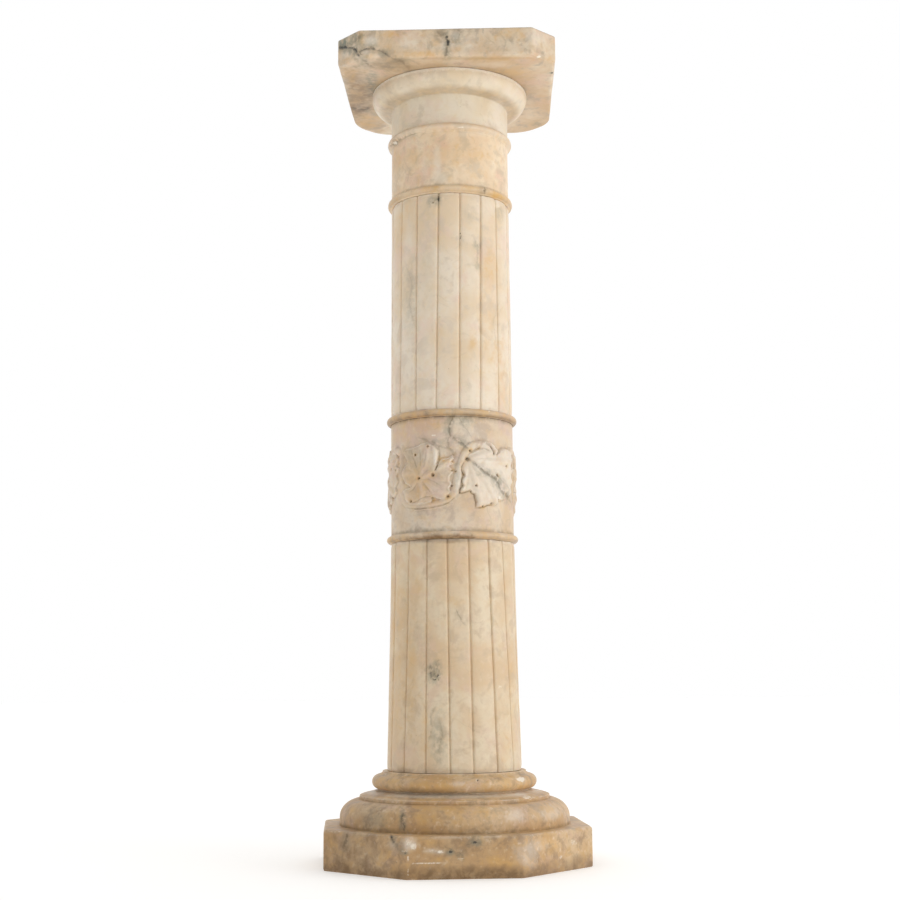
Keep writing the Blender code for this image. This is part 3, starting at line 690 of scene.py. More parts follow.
def worn(name, grid, seed, wobble=1.0, chips=1.0):
    """The stone's surface as hand and age left it: slightly uneven, its edges rubbed round and nicked here
    and there, with the dents that the photograph shows. The flat ends keep their height."""
    directions = outward(grid)
    edge = np.maximum(-hollowness(grid, directions, 2) - 0.06 * MM, 0)
    sharp = np.maximum(-hollowness(grid, directions, 1) - 0.05 * MM, 0)
    move = noise(grid, 58 * MM, seed) * 0.42 * MM * wobble
    move += noise(grid, 13 * MM, seed + 7) * 0.16 * MM * wobble
    ends = np.minimum(np.abs(grid[..., 2] - grid[..., 2].min()), np.abs(grid[..., 2] - grid[..., 2].max()))
    open_edge = 0.15 + 0.85 * smooth(0.5 * MM, 3 * MM, ends)
    move -= edge * open_edge * (0.45 + 0.5 * noise(grid, 11 * MM, seed + 11))
    nicks = smooth(0.22, 0.5, noise(grid, 7 * MM, seed + 17)) * smooth(0.05 * MM, 0.35 * MM, sharp)
    move -= nicks * (0.4 + 0.6 * open_edge) * chips * MM
    across, down = in_picture(grid)
    sight = VIEW_PLACE - grid
    facing = (directions * sight).sum(axis=-1) / np.linalg.norm(sight, axis=-1)
    for x, y, radius, depth in DENTS.get(name, ()):
        gap = np.hypot(across - x, down - y) * 1.3
        gap = gap * (1 + 0.3 * noise(grid, 3 * MM, seed + 23))
        move -= depth * MM * smooth(radius, radius * 0.35, gap) * (facing > 0.05)
    level = np.abs(directions[..., 2]) > 0.97
    move = np.where(level & (ends < 0.2 * MM), 0, move)
    moved = grid + directions * move[..., None]
    moved[..., 2] = np.clip(moved[..., 2], grid[..., 2].min(), grid[..., 2].max())
    moved[..., :2] = np.clip(moved[..., :2], -PLINTH_HALF, PLINTH_HALF)
    return moved


def marked(name, grid):
    """Veins and blotches of a stone where the photograph's camera sees them, and again, fainter, with the
    stone turned, for the sides that it doesn't see."""
    directions = outward(grid)
    shape = grid.shape[:2]
    marks = {kind: np.zeros(shape) for kind in MARK_KINDS}
    marks["vein_side"] = np.full(shape, FAR)
    marks["vein_near"] = np.full(shape, FAR)
    seen_before = np.zeros(shape)
    ragged = 1 + 0.4 * noise(grid, 8 * MM, RAGGED_SEED, 3) + 0.35 * noise(grid, 2.6 * MM, RAGGED_FINE_SEED)
    for order, degrees in enumerate((0, *HIDDEN_TURNS.get(name, ROUND_TURNS))):
        points = turned(grid, math.radians(degrees))
        sight = VIEW_PLACE - points
        facing = (turned(directions, math.radians(degrees)) * sight).sum(axis=-1)
        facing = facing / np.linalg.norm(sight, axis=-1)
        low, high = (0.0, 0.1) if order == 0 else (0.1, 0.35)
        seen = smooth(low, high, facing) * (1 - seen_before) * (1 if order == 0 else HIDDEN_STRENGTH)
        seen_before = np.maximum(seen_before, smooth(-0.05, 0.05, facing) if order == 0 else seen)
        across, down = in_picture(points)
        for ink, route in VEINS.get(name, ()):
            near, side, share = along_route(across, down, route)
            taper = smooth(0, 0.12, share) * smooth(1, 0.85, share) * 0.7 + 0.3
            nearer = (near < marks["vein_near"]) & (seen > 0)
            marks["vein_near"] = np.where(nearer, near, marks["vein_near"])
            marks["vein_side"] = np.where(nearer, near * side, marks["vein_side"])
            marks["vein_ink"] = np.where(nearer, ink * taper * seen, marks["vein_ink"])
        for kind, places in BLOTCHES.items():
            for x, y, half_width, half_height, strength in places.get(name, ()):
                gap = np.hypot((across - x) / half_width, (down - y) / half_height) * ragged
                soft = (1.0, 0.55) if kind in ("pit", "chalk") else (1.35, 0.25)
                marks[kind] = np.maximum(marks[kind], strength * seen * smooth(*soft, gap))
    return marks


def grimed(grid, directions):
    """Darkening of hollows, part staining and part painted shade: how deep each point lies below its
    surroundings, near and further off. Hollows that face down are darkened more than those that face up, as
    painted shade."""
    near = smooth(0.03 * MM, 0.45 * MM, hollowness(grid, directions, 1))
    middle = smooth(0.10 * MM, 0.9 * MM, hollowness(grid, directions, 3))
    kept = 1 - 0.7 * smooth(0.05, 0.5, directions[..., 2])
    return np.clip((0.75 * near + 0.6 * middle) * kept, 0, 1)


def cut(name, grid, material, marks, node):
    """One closed stone from a grid of points, each end closed by a fan, with its marks as attributes. It
    takes the place of a node of the model."""
    rows, columns = grid.shape[:2]
    ends = np.array((grid[0].mean(axis=0), grid[-1].mean(axis=0)))
    points = np.concatenate((grid.reshape(-1, 3), ends))
    places = np.arange(rows * columns).reshape(rows, columns)
    ahead = np.roll(places, -1, axis=1)
    quads = np.stack((places[:-1], ahead[:-1], ahead[1:], places[1:]), axis=-1).reshape(-1, 4)
    foot, head = rows * columns, rows * columns + 1
    fans = [(foot, b, a) for a, b in zip(places[0].tolist(), ahead[0].tolist())]
    fans += [(head, a, b) for a, b in zip(places[-1].tolist(), ahead[-1].tolist())]
    mesh = bpy.data.meshes.new(name)
    mesh.from_pydata(points.tolist(), [], quads.tolist() + fans)
    mesh.shade_smooth()
    mesh.set_sharp_from_angle(angle=math.radians(55))
    for kind, values in marks.items():
        values = np.concatenate((values.ravel(), (values[0].mean(), values[-1].mean())))
        mesh.attributes.new(kind, "FLOAT", "POINT").data.foreach_set("value", values.astype(np.float32))
    mesh.materials.append(material)
    item = bpy.data.objects.new(name, mesh)
    bpy.context.scene.collection.objects.link(item)
    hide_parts(node)
    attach(item, "root")


def rounded_outline(corners, radii, count):
    """Points at even spacing, closer on its arcs, along a convex outline with rounded corners, in the order
    of the corners."""
    path = []
    weights = []
    corners = np.array(corners, dtype=float)
    for before, corner, after, radius in zip(np.roll(corners, 1, 0), corners, np.roll(corners, -1, 0), radii):
        back = (before - corner) / np.linalg.norm(before - corner)
        on = (after - corner) / np.linalg.norm(after - corner)
        half = math.acos(float(np.clip(back @ on, -1, 1))) / 2
        middle = corner + (back + on) / np.linalg.norm(back + on) * radius / math.sin(half)
        start = corner + back * radius / math.tan(half) - middle
        first = math.atan2(start[1], start[0])
        for a in np.linspace(0, math.pi - 2 * half, 25):
            path.append(middle + radius * np.array((math.cos(first + a), math.sin(first + a))))
            weights.append(1.0 if a == 0 else 2.2)
    path = np.array(path + path[:1])
    lengths = np.linalg.norm(np.diff(path, axis=0), axis=1) * np.array(weights[1:] + weights[:1])
    passed = np.concatenate(([0], np.cumsum(lengths)))
    places = np.linspace(0, passed[-1], count, endpoint=False)
    return np.stack([np.interp(places, passed, path[:, axis]) for axis in (0, 1)], axis=-1)


def plinth_reach(angles):
    """Distance from the axis to the eight-sided plinth's rounded outline in each direction."""
    half_pitch = math.pi / 8
    off = np.abs((angles + half_pitch) % (2 * half_pitch) - half_pitch)
    middle = (PLINTH_HALF - PLINTH_CORNER) / math.cos(half_pitch)
    touch = math.atan((PLINTH_HALF - PLINTH_CORNER) * math.tan(half_pitch) / PLINTH_HALF)
    past = half_pitch - off
    bend = middle * np.cos(past) + np.sqrt(np.maximum(PLINTH_CORNER ** 2 - (middle * np.sin(past)) ** 2, 0))
    return np.where(off < touch, PLINTH_HALF / np.cos(off), bend)


def base_grid():
    """The base: flat underside, eight upright sides, an eased arris, the flat top that turns from the eight
    sides to a circle, and above it the big round, the step, the slope, the small round and the seat."""
    even = np.linspace(0, 2 * math.pi, BASE_COLUMNS, endpoint=False)
    angles = even - 0.6 * np.sin(8 * (even - math.pi / 8)) / 8
    outline = plinth_reach(angles)
    rows = [around(outline * share, angles, 0) for share in (0.3, 0.6, 0.85)]
    rows += [around(outline - PLINTH_FOOT_ARRIS, angles, 0), around(outline, angles, PLINTH_FOOT_ARRIS)]
    side = PLINTH_HEIGHT - PLINTH_ARRIS - PLINTH_FOOT_ARRIS
    count = math.ceil(side / (1.5 * MM))
    rows += [around(outline, angles, PLINTH_FOOT_ARRIS + side * k / count) for k in range(1, count)]
    rows += [around(outline - PLINTH_ARRIS * (1 - math.cos(a)), angles,
                    PLINTH_HEIGHT - PLINTH_ARRIS * (1 - math.sin(a))) for a in np.radians((0, 30, 60, 90))]
    for k in range(1, 14):
        share = k / 14
        reach = (outline - PLINTH_ARRIS) * (1 - share) + BIG_ROUND_RADIUS * share
        rows.append(around(reach, angles, PLINTH_HEIGHT))
    width, height = BIG_ROUND_CURVE
    last = math.degrees(math.acos(1 - (BIG_ROUND_RADIUS - STEP_RADIUS) / width))
    upright = PLINTH_HEIGHT + BIG_ROUND_UPRIGHT
    profile = [(BIG_ROUND_RADIUS, PLINTH_HEIGHT)]
    profile += curve(BIG_ROUND_RADIUS - width, upright, width, height, 0, last, 1.5 * MM)
    slope_foot = profile[-1][1] + STEP_HEIGHT
    profile += [(STEP_RADIUS, slope_foot - 1.2 * MM), (SLOPE_FOOT_RADIUS, slope_foot)]
    round_foot = slope_foot + SLOPE_RISE + SLOPE_NECK_HEIGHT
    profile.append((SLOPE_NECK_RADIUS, slope_foot + SLOPE_RISE))
    profile += bead(SMALL_ROUND_NECK, SMALL_ROUND_RADIUS, round_foot, SMALL_ROUND_HEIGHT, 1.5 * MM)
    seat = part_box("base")[1][2]
    profile += [(SEAT_RADIUS + 0.8 * MM, (round_foot + SMALL_ROUND_HEIGHT + seat) / 2), (SEAT_RADIUS, seat)]
    profile = filled(profile, 1.6 * MM) + [(SEAT_RADIUS * share, seat) for share in (0.93, 0.6, 0.3)]
    rows += [around(r, angles, z) for r, z in profile]
    return np.stack(rows)


def groove_places(shaft, heights):
    """Angle of every groove at each height: those that the photograph shows, and the rest spread evenly over
    the hidden side."""
    wall = (shaft["foot"] + shaft["head"]) / 2
    upper, lower = (on_drum([(pair[end], row) for pair in shaft["grooves"]], wall)
                    for end, row in enumerate(shaft["rows"]))
    slope = (upper[:, 0] - lower[:, 0]) / (upper[:, 1] - lower[:, 1])
    seen = lower[:, 0] + slope * (np.array(heights)[:, None] - lower[:, 1])
    spare = shaft["reeds"] - seen.shape[1]
    gap = 2 * math.pi - (seen[:, -1:] - seen[:, :1])
    rest = seen[:, -1:] + gap * np.arange(1, spare + 1) / (spare + 1)
    return np.concatenate((seen, rest, seen[:, :1] + 2 * math.pi), axis=1)


def reeded_grid(name, shaft):
    """A reeded shaft: between each groove and the next the wall swells to a soft crown, and the groove is a
    narrow cut. Points crowd towards the grooves. The reeds' ends are rubbed back a little."""
    low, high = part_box(name)
    foot, head = low[2], high[2]
    profile = [(shaft["foot"] * part, foot) for part in (0.45, 0.85, 0.95, 1)]
    count = math.ceil((head - foot) / LONG_ROW)
    for k in range(1, count + 1):
        part = k / count
        radius = shaft["head"] + (shaft["foot"] - shaft["head"]) * (1 - part) ** shaft["flare"]
        profile.append((radius, foot + (head - foot) * part))
    profile = np.array(profile + [(shaft["head"] * part, head) for part in (0.95, 0.85, 0.45)])
    radius, z = profile[:, :1], profile[:, 1:]
    grooves = groove_places(shaft, profile[:, 1])
    step = np.arange(REED_POINTS) / REED_POINTS
    share = np.tile(step - 0.78 * np.sin(2 * math.pi * step) / (2 * math.pi), shaft["reeds"])
    width = np.repeat(np.diff(grooves, axis=1), REED_POINTS, axis=1)
    angles = np.repeat(grooves[:, :-1], REED_POINTS, axis=1) + width * share
    gap = np.minimum(share, 1 - share) * width * radius
    groove = GROOVE_DEPTH * (1 - smooth(0, GROOVE_HALF_WIDTH * 1.25, gap)) ** 1.2
    crown = REED_CROWN * np.abs(2 * share - 1) ** 2.4
    reed = np.repeat(np.arange(shaft["reeds"]), REED_POINTS)
    lean = (lattice(np.stack((reed, reed * 0, reed * 0 + 3), axis=-1), 5) - 0.5) * 0.7 * MM * (2 * share - 1)
    ends = np.minimum(z - foot, head - z)
    ease = 0.7 * MM * np.exp(-ends / (1.6 * MM)) + 0.3 * MM * np.exp(-ends / (5 * MM))
    full = (profile[:, 0] > 0.97 * shaft["head"])[:, None]
    return around(np.where(full, radius - groove - crown - lean - ease, radius * 0.985), angles, z)


def vine_shapes():
    """The traced vine unrolled to places as (angle, height): the stem with its link to the next repeat, and
    the two leaves."""
    wall = DRUM_RADIUS + 2.5 * MM
    link = np.array([(math.radians(angle), z) for angle, z in STEM_LINK])
    leaves = [dict(leaf, edge=on_drum(leaf["edge"], wall), ribs=[on_drum(rib, wall) for rib in leaf["ribs"]])
              for leaf in (RISING_LEAF, HANGING_LEAF)]
    return (on_drum(STEM, wall), link), leaves


def vine_height(angle, z, seed=VINE_SEED):
    """Height of the carving above the drum's wall, in millimetres, and shares from 0 to 1 of its holes and
    undercuts, the ground beside it, the halo round its holes, painted highlight on lips and ribs with the
    paler hanging leaf, and the web between its ribs.

    A leaf climbs steeply at its edge and then slowly towards its hub. A rib runs out to each lobe and the web
    between ribs sinks. The stem is half round. Undercut lines and holes are cut down into all of these. The
    traced stretch comes again on each side, squeezed so that three go round."""
    wall = DRUM_RADIUS + 2.5 * MM
    points = around(DRUM_RADIUS, angle, z)
    height, holes, ground, halo, highlight_and_pale_leaf, web = (np.zeros(angle.shape) for _ in range(6))
    stem, leaves = vine_shapes()
    rough = noise(points, 3.2 * MM, seed, 3)
    waver = noise(points, 7 * MM, seed + 5)
    start, end = VINE_SPAN
    width = end - start
    rest = (2 * math.pi - width) / 2
    up = z / MM

    def flat(route):
        return [(a * wall / MM, b / MM) for a, b in route]

    for turn in (-1, 0, 1):
        squeeze = 1 if turn == 0 else rest / width
        middle = (start + end) / 2 + turn * (width + rest) / 2
        near = (angle - middle + math.pi) % (2 * math.pi) - math.pi
        along = (near / squeeze + (start + end) / 2) * wall / MM
        (far, _, share), (link, _, _) = (along_route(along, up, flat(route)) for route in stem)
        rod = STEM_PROUD * (0.32 + 0.68 * smooth(0.24, 0.42, share))
        far = np.minimum(far, link) + 0.25 * waver
        carved = rod * np.sqrt(np.maximum(1 - (far / STEM_HALF_WIDTH) ** 2, 0)) ** 0.7
        for leaf in leaves:
            pale = leaf["pale"] * (1 if turn == 0 else 0.2)
            corners = flat(leaf["edge"])
            edge, _, _ = along_route(along, up, corners + corners[:1])
            edge = np.where(inside(along, up, corners), edge, -edge) + 0.2 * waver
            rib = np.full(angle.shape, FAR)
            for route in leaf["ribs"]:
                away, _, _ = along_route(along, up, flat(route))
                rib = np.minimum(rib, away)
            rise = LEAF_PROUD * smooth(-0.2, leaf["brow"], edge) + 1.4 * smooth(0.5, 8.0, edge)
            fold = 0.5 * np.exp(-((rib + 0.5 * waver) / 1.8) ** 2) - 1.3 * smooth(1.2, 5.5, rib)
            rise += np.where(edge > 0, fold, 0)
            lip = np.exp(-((edge - 1.6) / 0.9) ** 2) * (edge > 0)
            rise += 0.7 * lip
            ridge = 0.28 * np.exp(-((rib + 0.6 * waver) / 1.5) ** 2) * (0.6 + 0.8 * rough) * (edge > 0)
            # Painted highlight along each leaf's lip and ribs, and the hanging leaf paler all over
            highlight_and_pale_leaf = np.maximum(highlight_and_pale_leaf, np.maximum(0.8 * lip, ridge) * (1 - pale))
            highlight_and_pale_leaf = np.maximum(highlight_and_pale_leaf, pale * smooth(0, 2, edge))
            web = np.maximum(web, smooth(1.6, 5.0, rib) * smooth(1.8, 3.5, edge) * (1 - pale))
            carved = np.maximum(carved, np.where(edge > -0.2, rise, 0))
            ground = np.maximum(ground, smooth(3.5, 0.3, -edge) * (edge < 0))
        for depth, half, route in UNDERCUTS:
            away, _, share = along_route(along, up, flat(on_drum(route, wall)))
            line = np.exp(-((away + 0.15 * waver) / half) ** 2) * (0.6 + 0.4 * smooth(0, 0.2, share))
            carved -= depth * line * smooth(0.2, 1.5, carved + depth * 0.7)
            holes = np.maximum(holes, line * min(1, depth / 2.0))
        for x, y, radius in DRILLED:
            (hole_angle, hole_z), = on_drum((x, y), wall)
            away = np.hypot(along - hole_angle * wall / MM, up - hole_z / MM) / (radius * 1.4)
            drilled = smooth(1.25, 0.5, away)
            halo = np.maximum(halo, smooth(3.4, 1.0, away + 0.3 * waver) * (np.abs(near) < width))
            carved = carved * (1 - drilled) + np.minimum(carved, carved - DRILL_DEPTH) * drilled
            holes = np.maximum(holes, drilled)
        height = np.maximum(height, np.where(np.abs(near) < width, carved, -9))
    height = height + 0.16 * rough * smooth(0.1, 1.5, height) - 0.35 * ground
    return height, holes, ground, halo, highlight_and_pale_leaf, web


def drum_grid(name):
    """The drum: bead, plain wall, the carved band in close rows, plain wall and bead. Returns its grid and,
    by name, where the band is and the carving's shares."""
    low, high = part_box(name)
    foot, head = low[2], high[2]
    band = (foot + 32.5 * MM, foot + 127.5 * MM)
    profile = bead(DRUM_RADIUS, DRUM_BEAD, foot, BEAD_HEIGHT)
    profile += filled([(DRUM_RADIUS, foot + BEAD_HEIGHT), (DRUM_RADIUS, band[0])], LONG_ROW)[1:]
    profile += filled([(DRUM_RADIUS, band[0]), (DRUM_RADIUS, band[1])], FINE_ROW)[1:]
    profile += filled([(DRUM_RADIUS, band[1]), (DRUM_RADIUS, head - BEAD_HEIGHT)], LONG_ROW)[1:]
    profile += bead(DRUM_RADIUS, DRUM_BEAD, head - BEAD_HEIGHT, BEAD_HEIGHT)[1:]
    profile = np.array(capped(profile))
    angles = np.linspace(0, 2 * math.pi, DRUM_COLUMNS, endpoint=False)
    radius = profile[:, :1] + 0 * angles
    z = profile[:, 1:] + 0 * angles
    carved = (profile[:, 1] > band[0]) & (profile[:, 1] < band[1])
    height, *fields = vine_height(radius[carved] * 0 + angles, z[carved])
    radius[carved] += height * MM
    tones = dict(band=np.repeat(carved[:, None], DRUM_COLUMNS, axis=1))
    for tone, field in zip(("holes", "ground", "halo", "highlight_and_pale_leaf", "web"), fields):
        tones[tone] = np.zeros(radius.shape)
        tones[tone][carved] = field
    return around(radius, angles, z), tones


def turned_grid(profile, columns=PLAIN_COLUMNS):
    """A profile carried round the axis."""
    angles = np.linspace(0, 2 * math.pi, columns, endpoint=False)
    profile = np.array(profile)
    return around(profile[:, :1], angles, profile[:, 1:])


def collar_profile(name):
    """The collar: a plain band between two beads."""
    foot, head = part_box(name)[0][2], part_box(name)[1][2]
    profile = bead(COLLAR_RADIUS, COLLAR_BEAD, foot, BEAD_HEIGHT)
    upper = bead(COLLAR_RADIUS, COLLAR_BEAD, head - BEAD_HEIGHT, BEAD_HEIGHT)
    profile += [(COLLAR_RADIUS, head - BEAD_HEIGHT - 2.5 * MM),
                (COLLAR_RADIUS + 1.2 * MM, head - BEAD_HEIGHT)]
    profile += [point for point in upper if point[1] > head - 0.8 * BEAD_HEIGHT]
    return capped(filled(profile, ROW))


def capital_profile(name):
    """The capital: a plain neck, a small quirk and the echinus that swells out under the slab."""
    foot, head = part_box(name)[0][2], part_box(name)[1][2]
    neck = foot + NECK_HEIGHT
    profile = filled([(NECK_RADIUS, foot), (NECK_RADIUS, neck)], LONG_ROW)
    profile += [(NECK_RADIUS + 1.0 * MM, neck + 0.5 * MM), (QUIRK_RADIUS, neck + QUIRK_RISE)]
    profile += curve(QUIRK_RADIUS, neck + QUIRK_RISE + ECHINUS_CURVE_HEIGHT,
                     ECHINUS_RADIUS - QUIRK_RADIUS, ECHINUS_CURVE_HEIGHT, -78, 0, ROW)
    inward, up = ECHINUS_ROLL
    widest = profile[-1][1]
    last = math.degrees(math.asin(min(1, (head - widest) / up)))
    profile += curve(ECHINUS_RADIUS - inward, widest, inward, up, 0, last, ROW)[1:]
    profile[-1] = (profile[-1][0], head)
    return capped(filled(profile, ROW), (0.45, 0.85, 0.97))


def slab_grid(name):
    """The slab: flat underside, eased arris, upright sides with cut corners, arris and flat top."""
    foot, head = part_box(name)[0][2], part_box(name)[1][2]
    corners = np.array(SLAB_CORNERS) * MM
    flat = rounded_outline(corners[:, :2], corners[:, 2], SLAB_COLUMNS)
    flat = turned(np.concatenate((flat, np.zeros((len(flat), 1))), axis=1), SLAB_TURN)
    reach = np.linalg.norm(flat, axis=1, keepdims=True)
    direction = flat / reach
    shares = np.linspace(0.02, 1, 36) ** 0.75
    front, back = SLAB_UNDER_ARRIS
    ease = back + (front - back) * smooth(70 * MM, -40 * MM, flat[:, 1:2])
    rows = [direction * (reach - ease) * share + (0, 0, foot) for share in shares]
    rows += [direction * (reach - ease * (1 - math.sin(a))) + ease * (0, 0, 1 - math.cos(a)) + (0, 0, foot)
             for a in np.radians((18, 36, 54, 72, 90))]
    side = head - foot - ease - SLAB_ARRIS
    count = math.ceil(side.max() / (1.5 * MM))
    rows += [direction * reach + (ease + side * k / count) * (0, 0, 1) + (0, 0, foot)
             for k in range(1, count)]
    rows += [direction * (reach - SLAB_ARRIS * (1 - math.cos(a)))
             + (0, 0, head - SLAB_ARRIS * (1 - math.sin(a))) for a in np.radians((0, 30, 60))]
    rows += [direction * (reach - SLAB_ARRIS) * share + (0, 0, head) for share in shares[::-1]]
    return np.stack(rows)


def colour(sheet):
    """A linear colour from a hex one."""
    parts = [int(sheet[k:k + 2], 16) / 255 for k in (1, 3, 5)]
    return tuple(p / 12.92 if p <= 0.04045 else ((p + 0.055) / 1.055) ** 2.4 for p in parts) + (1.0,)


def node(tree, kind, inputs=None, **settings):
    """Adds a node with its settings. An input is a plain value, or another node's output to link."""
    item = tree.nodes.new(kind)
    for key, value in settings.items():
        setattr(item, key, value)
    for key, value in (inputs or {}).items():
        if isinstance(value, bpy.types.NodeSocket):
            tree.links.new(value, item.inputs[key])
        else:
            item.inputs[key].default_value = value
    return item.outputs


def alabaster(name, pale, warm, dusk, blush, gold, lively, ghost=0.3, seed=0.0, rough=0.44):
    """Polished alabaster gone matt with age: cloudy pale and warm ground, golden, dusky and pale freckles,
    sugary grain, faint ghost veins and pinholes. The traced veins and all other marks come from the stone's
    attributes, and its calm weakens the freckles."""
    material = bpy.data.materials.new(name)
    material.use_nodes = True
    tree = material.node_tree
    tree.nodes.clear()
    add = partial(node, tree)

    def field(size, detail, roughness=0.5, distortion=0.0, shift=0.0):
        offset = (shift + seed, seed * 0.7, shift)
        moved = add("ShaderNodeVectorMath", {0: place, 1: offset}, operation="ADD")[0]
        return add("ShaderNodeTexNoise", {"Vector": moved, "Scale": 1 / size, "Detail": detail,
                                          "Roughness": roughness, "Distortion": distortion})[0]

    def climb(value, low, high, to_low=0.0, to_high=1.0):
        return add("ShaderNodeMapRange", {"Value": value, "From Min": low, "From Max": high, "To Min": to_low,
                                          "To Max": to_high}, interpolation_type="SMOOTHSTEP")[0]

    def calc(a, b, kind="MULTIPLY"):
        return add("ShaderNodeMath", {0: a, 1: b}, operation=kind)[0]

    def swing(value, reach):
        return calc(calc(value, 0.5, "SUBTRACT"), reach)

    def blend(under, over, share):
        return add("ShaderNodeMix", {0: share, 6: under, 7: over}, data_type="RGBA")[2]

    def washed(under, *layers):
        for sheet, share in layers:
            under = blend(under, colour(sheet), share)
        return under

    def mark(kind):
        return add("ShaderNodeAttribute", attribute_name=kind)[2]

    place = add("ShaderNodeTexCoord")[3]
    clouds = field(88 * MM, 3, 0.55, 0.6)
    mottle = field(26 * MM, 5, 0.62, 0.4, 0.31)
    patches = field(41 * MM, 5, 0.6, 0.5, 0.67)
    dapple = field(13 * MM, 4, 0.62, 0.35, 0.49)
    speck = field(6.5 * MM, 3, 0.6, 0.2, 0.77)
    grain = field(1.9 * MM, 2, 0.5, 0.0, 0.13)
    drift = field(75 * MM, 3, 0.5, 0.5, 0.53)

    stir = calc(lively, calc(1.0, mark("calm"), "SUBTRACT"))
    centred = calc(calc(drift, 0.5, "SUBTRACT"), 0.0, "ABSOLUTE")
    faint = calc(climb(centred, 0.012, 0.002), climb(mottle, 0.45, 0.62))

    wobble = calc(swing(speck, 4.2), swing(grain, 1.6), "ADD")
    off = calc(calc(mark("vein_side"), wobble, "ADD"), 0.0, "ABSOLUTE")
    ink = mark("vein_ink")
    width = calc(climb(mottle, 0.3, 0.7, 0.7, 1.9), calc(calc(ink, 1.3), 0.6, "ADD"))
    line = climb(calc(off, width, "DIVIDE"), 1.1, 0.05)
    line = calc(calc(line, climb(mark("vein_near"), 3.4, 2.2)), ink)
    halo = calc(climb(mark("vein_near"), 7.0, 0.5, 0, 0.42), ink)
    halo = calc(halo, climb(speck, 0.35, 0.6, 0.3, 1.0))

    tint = washed(
        colour(pale),
        (warm, climb(clouds, 0.36, 0.64)),
        (warm, climb(mottle, 0.52, 0.70, 0, 0.6)),
        (blush, climb(patches, 0.50, 0.66, 0, 0.65)),
        (dusk, climb(mottle, 0.49, 0.34, 0, 0.7)),
        (gold, calc(climb(dapple, 0.48, 0.32), stir)),
        (dusk, calc(climb(dapple, 0.52, 0.68, 0, 0.8), stir)),
        (dusk, calc(climb(speck, 0.54, 0.76, 0, 0.7), stir)),
        (FLECK, calc(climb(speck, 0.44, 0.26, 0, 0.45), stir)),
        (GHOST_VEIN, calc(faint, ghost)),
        (RUST, calc(mark("rust"), climb(dapple, 0.66, 0.36, 0.35, 1.0))),
        # Pale patches of the stone, together with painted highlights
        (MIST_AND_HIGHLIGHT, calc(mark("mist"), climb(dapple, 0.3, 0.6, 0.5, 1.0))),
        (SMOKE, calc(mark("smoke"), climb(speck, 0.3, 0.62, 0.2, 1.0))),
        (VEIN_HALO, halo))
    dark = blend(colour(FAINT_VEIN), colour(DARK_VEIN), climb(ink, 0.35, 0.9))
    tint = blend(tint, dark, calc(line, climb(speck, 0.25, 0.6, 0.35, 0.95)))

    hollow_dark = calc(mark("grime"), climb(speck, 0.3, 0.6, 0.35, 1.0))
    crumbs = calc(swing(speck, 1.0), swing(grain, 0.8), "ADD")
    chalk = calc(climb(calc(mark("chalk"), crumbs, "ADD"), 0.15, 0.8), climb(mark("chalk"), 0, 0.12))
    pits = climb(calc(mark("pit"), swing(speck, 1.2), "ADD"), 0.42, 0.7)
    pits = calc(pits, climb(mark("pit"), 0, 0.15))
    # Brown staining and painted shade, in patches and in hollows, then chalk, pits and pinholes
    tint = washed(
        tint,
        (SOIL_AND_SHADE, calc(mark("soil"), climb(dapple, 0.3, 0.62, 0.5, 1.0))),
        (GRIME_AND_SHADE, calc(hollow_dark, 0.75)),
        (DEEP_GRIME_AND_SHADE, climb(mark("grime"), 0.78, 1.0, 0, 0.6)),
        (CHALK, calc(chalk, 0.8)),
        (PIT, calc(pits, 0.85)),
        (PINHOLE, climb(field(2.6 * MM, 1, 0.5, 0.0, 1.37), 0.78, 0.86, 0, 0.5)))

    roughness = climb(mottle, 0.3, 0.7, rough - 0.06, rough + 0.1)
    roughness = calc(roughness, calc(mark("grime"), 0.3), "ADD")
    relief = calc(calc(grain, 0.35), speck, "ADD")
    bump = add("ShaderNodeBump", {"Strength": 0.25, "Distance": 0.25 * MM, "Height": relief})[0]
    shader = add("ShaderNodeBsdfPrincipled", {"Base Color": tint, "Roughness": roughness, "Normal": bump,
                                              "IOR": 1.52, "Subsurface Weight": 0.12,
                                              "Subsurface Radius": (1.0, 0.55, 0.3),
                                              "Subsurface Scale": 4 * MM})[0]
    add("ShaderNodeOutputMaterial", {"Surface": shader})
    return material


def plain(name, sheet, rough):
    """A matt finish of one colour."""
    material = bpy.data.materials.new(name)
    material.use_nodes = True
    shader = material.node_tree.nodes["Principled BSDF"]
    shader.inputs["Base Color"].default_value = colour(sheet)
    shader.inputs["Roughness"].default_value = rough
    return material


def make_stone(name, grid, wobble=1.0, chips=1.0, soiling=1.0, **extra):
    """Wears a stone's grid, reads its marks and its darkened hollows, part staining and part painted shade,
    and puts it in place of its node. Extra marks are added to those of the same kind."""
    seed = WEAR_SEEDS[name]
    grid = worn(name, grid, seed, wobble, chips)
    marks = marked(name, grid)
    directions = outward(grid)
    # Hollows darkened, part staining and part painted shade, scaled for each stone
    marks["grime"] = grimed(grid, directions) * soiling
    rubbed = smooth(0.04 * MM, 0.3 * MM, -hollowness(grid, directions, 1))
    marks["mist"] = np.maximum(marks["mist"], 0.6 * rubbed * (0.5 + 0.9 * noise(grid, 9 * MM, seed + 31)))
    for kind, values in extra.items():
        marks[kind] = np.clip(marks[kind] + values, 0, 1)
    cut(name + "_stone", grid, alabaster(*FINISHES[name]), marks, name)


def past(grid, start, end):
    """How far a point's distance from the axis has gone from one radius to another."""
    return smooth(start, end, np.hypot(grid[..., 0], grid[..., 1]))


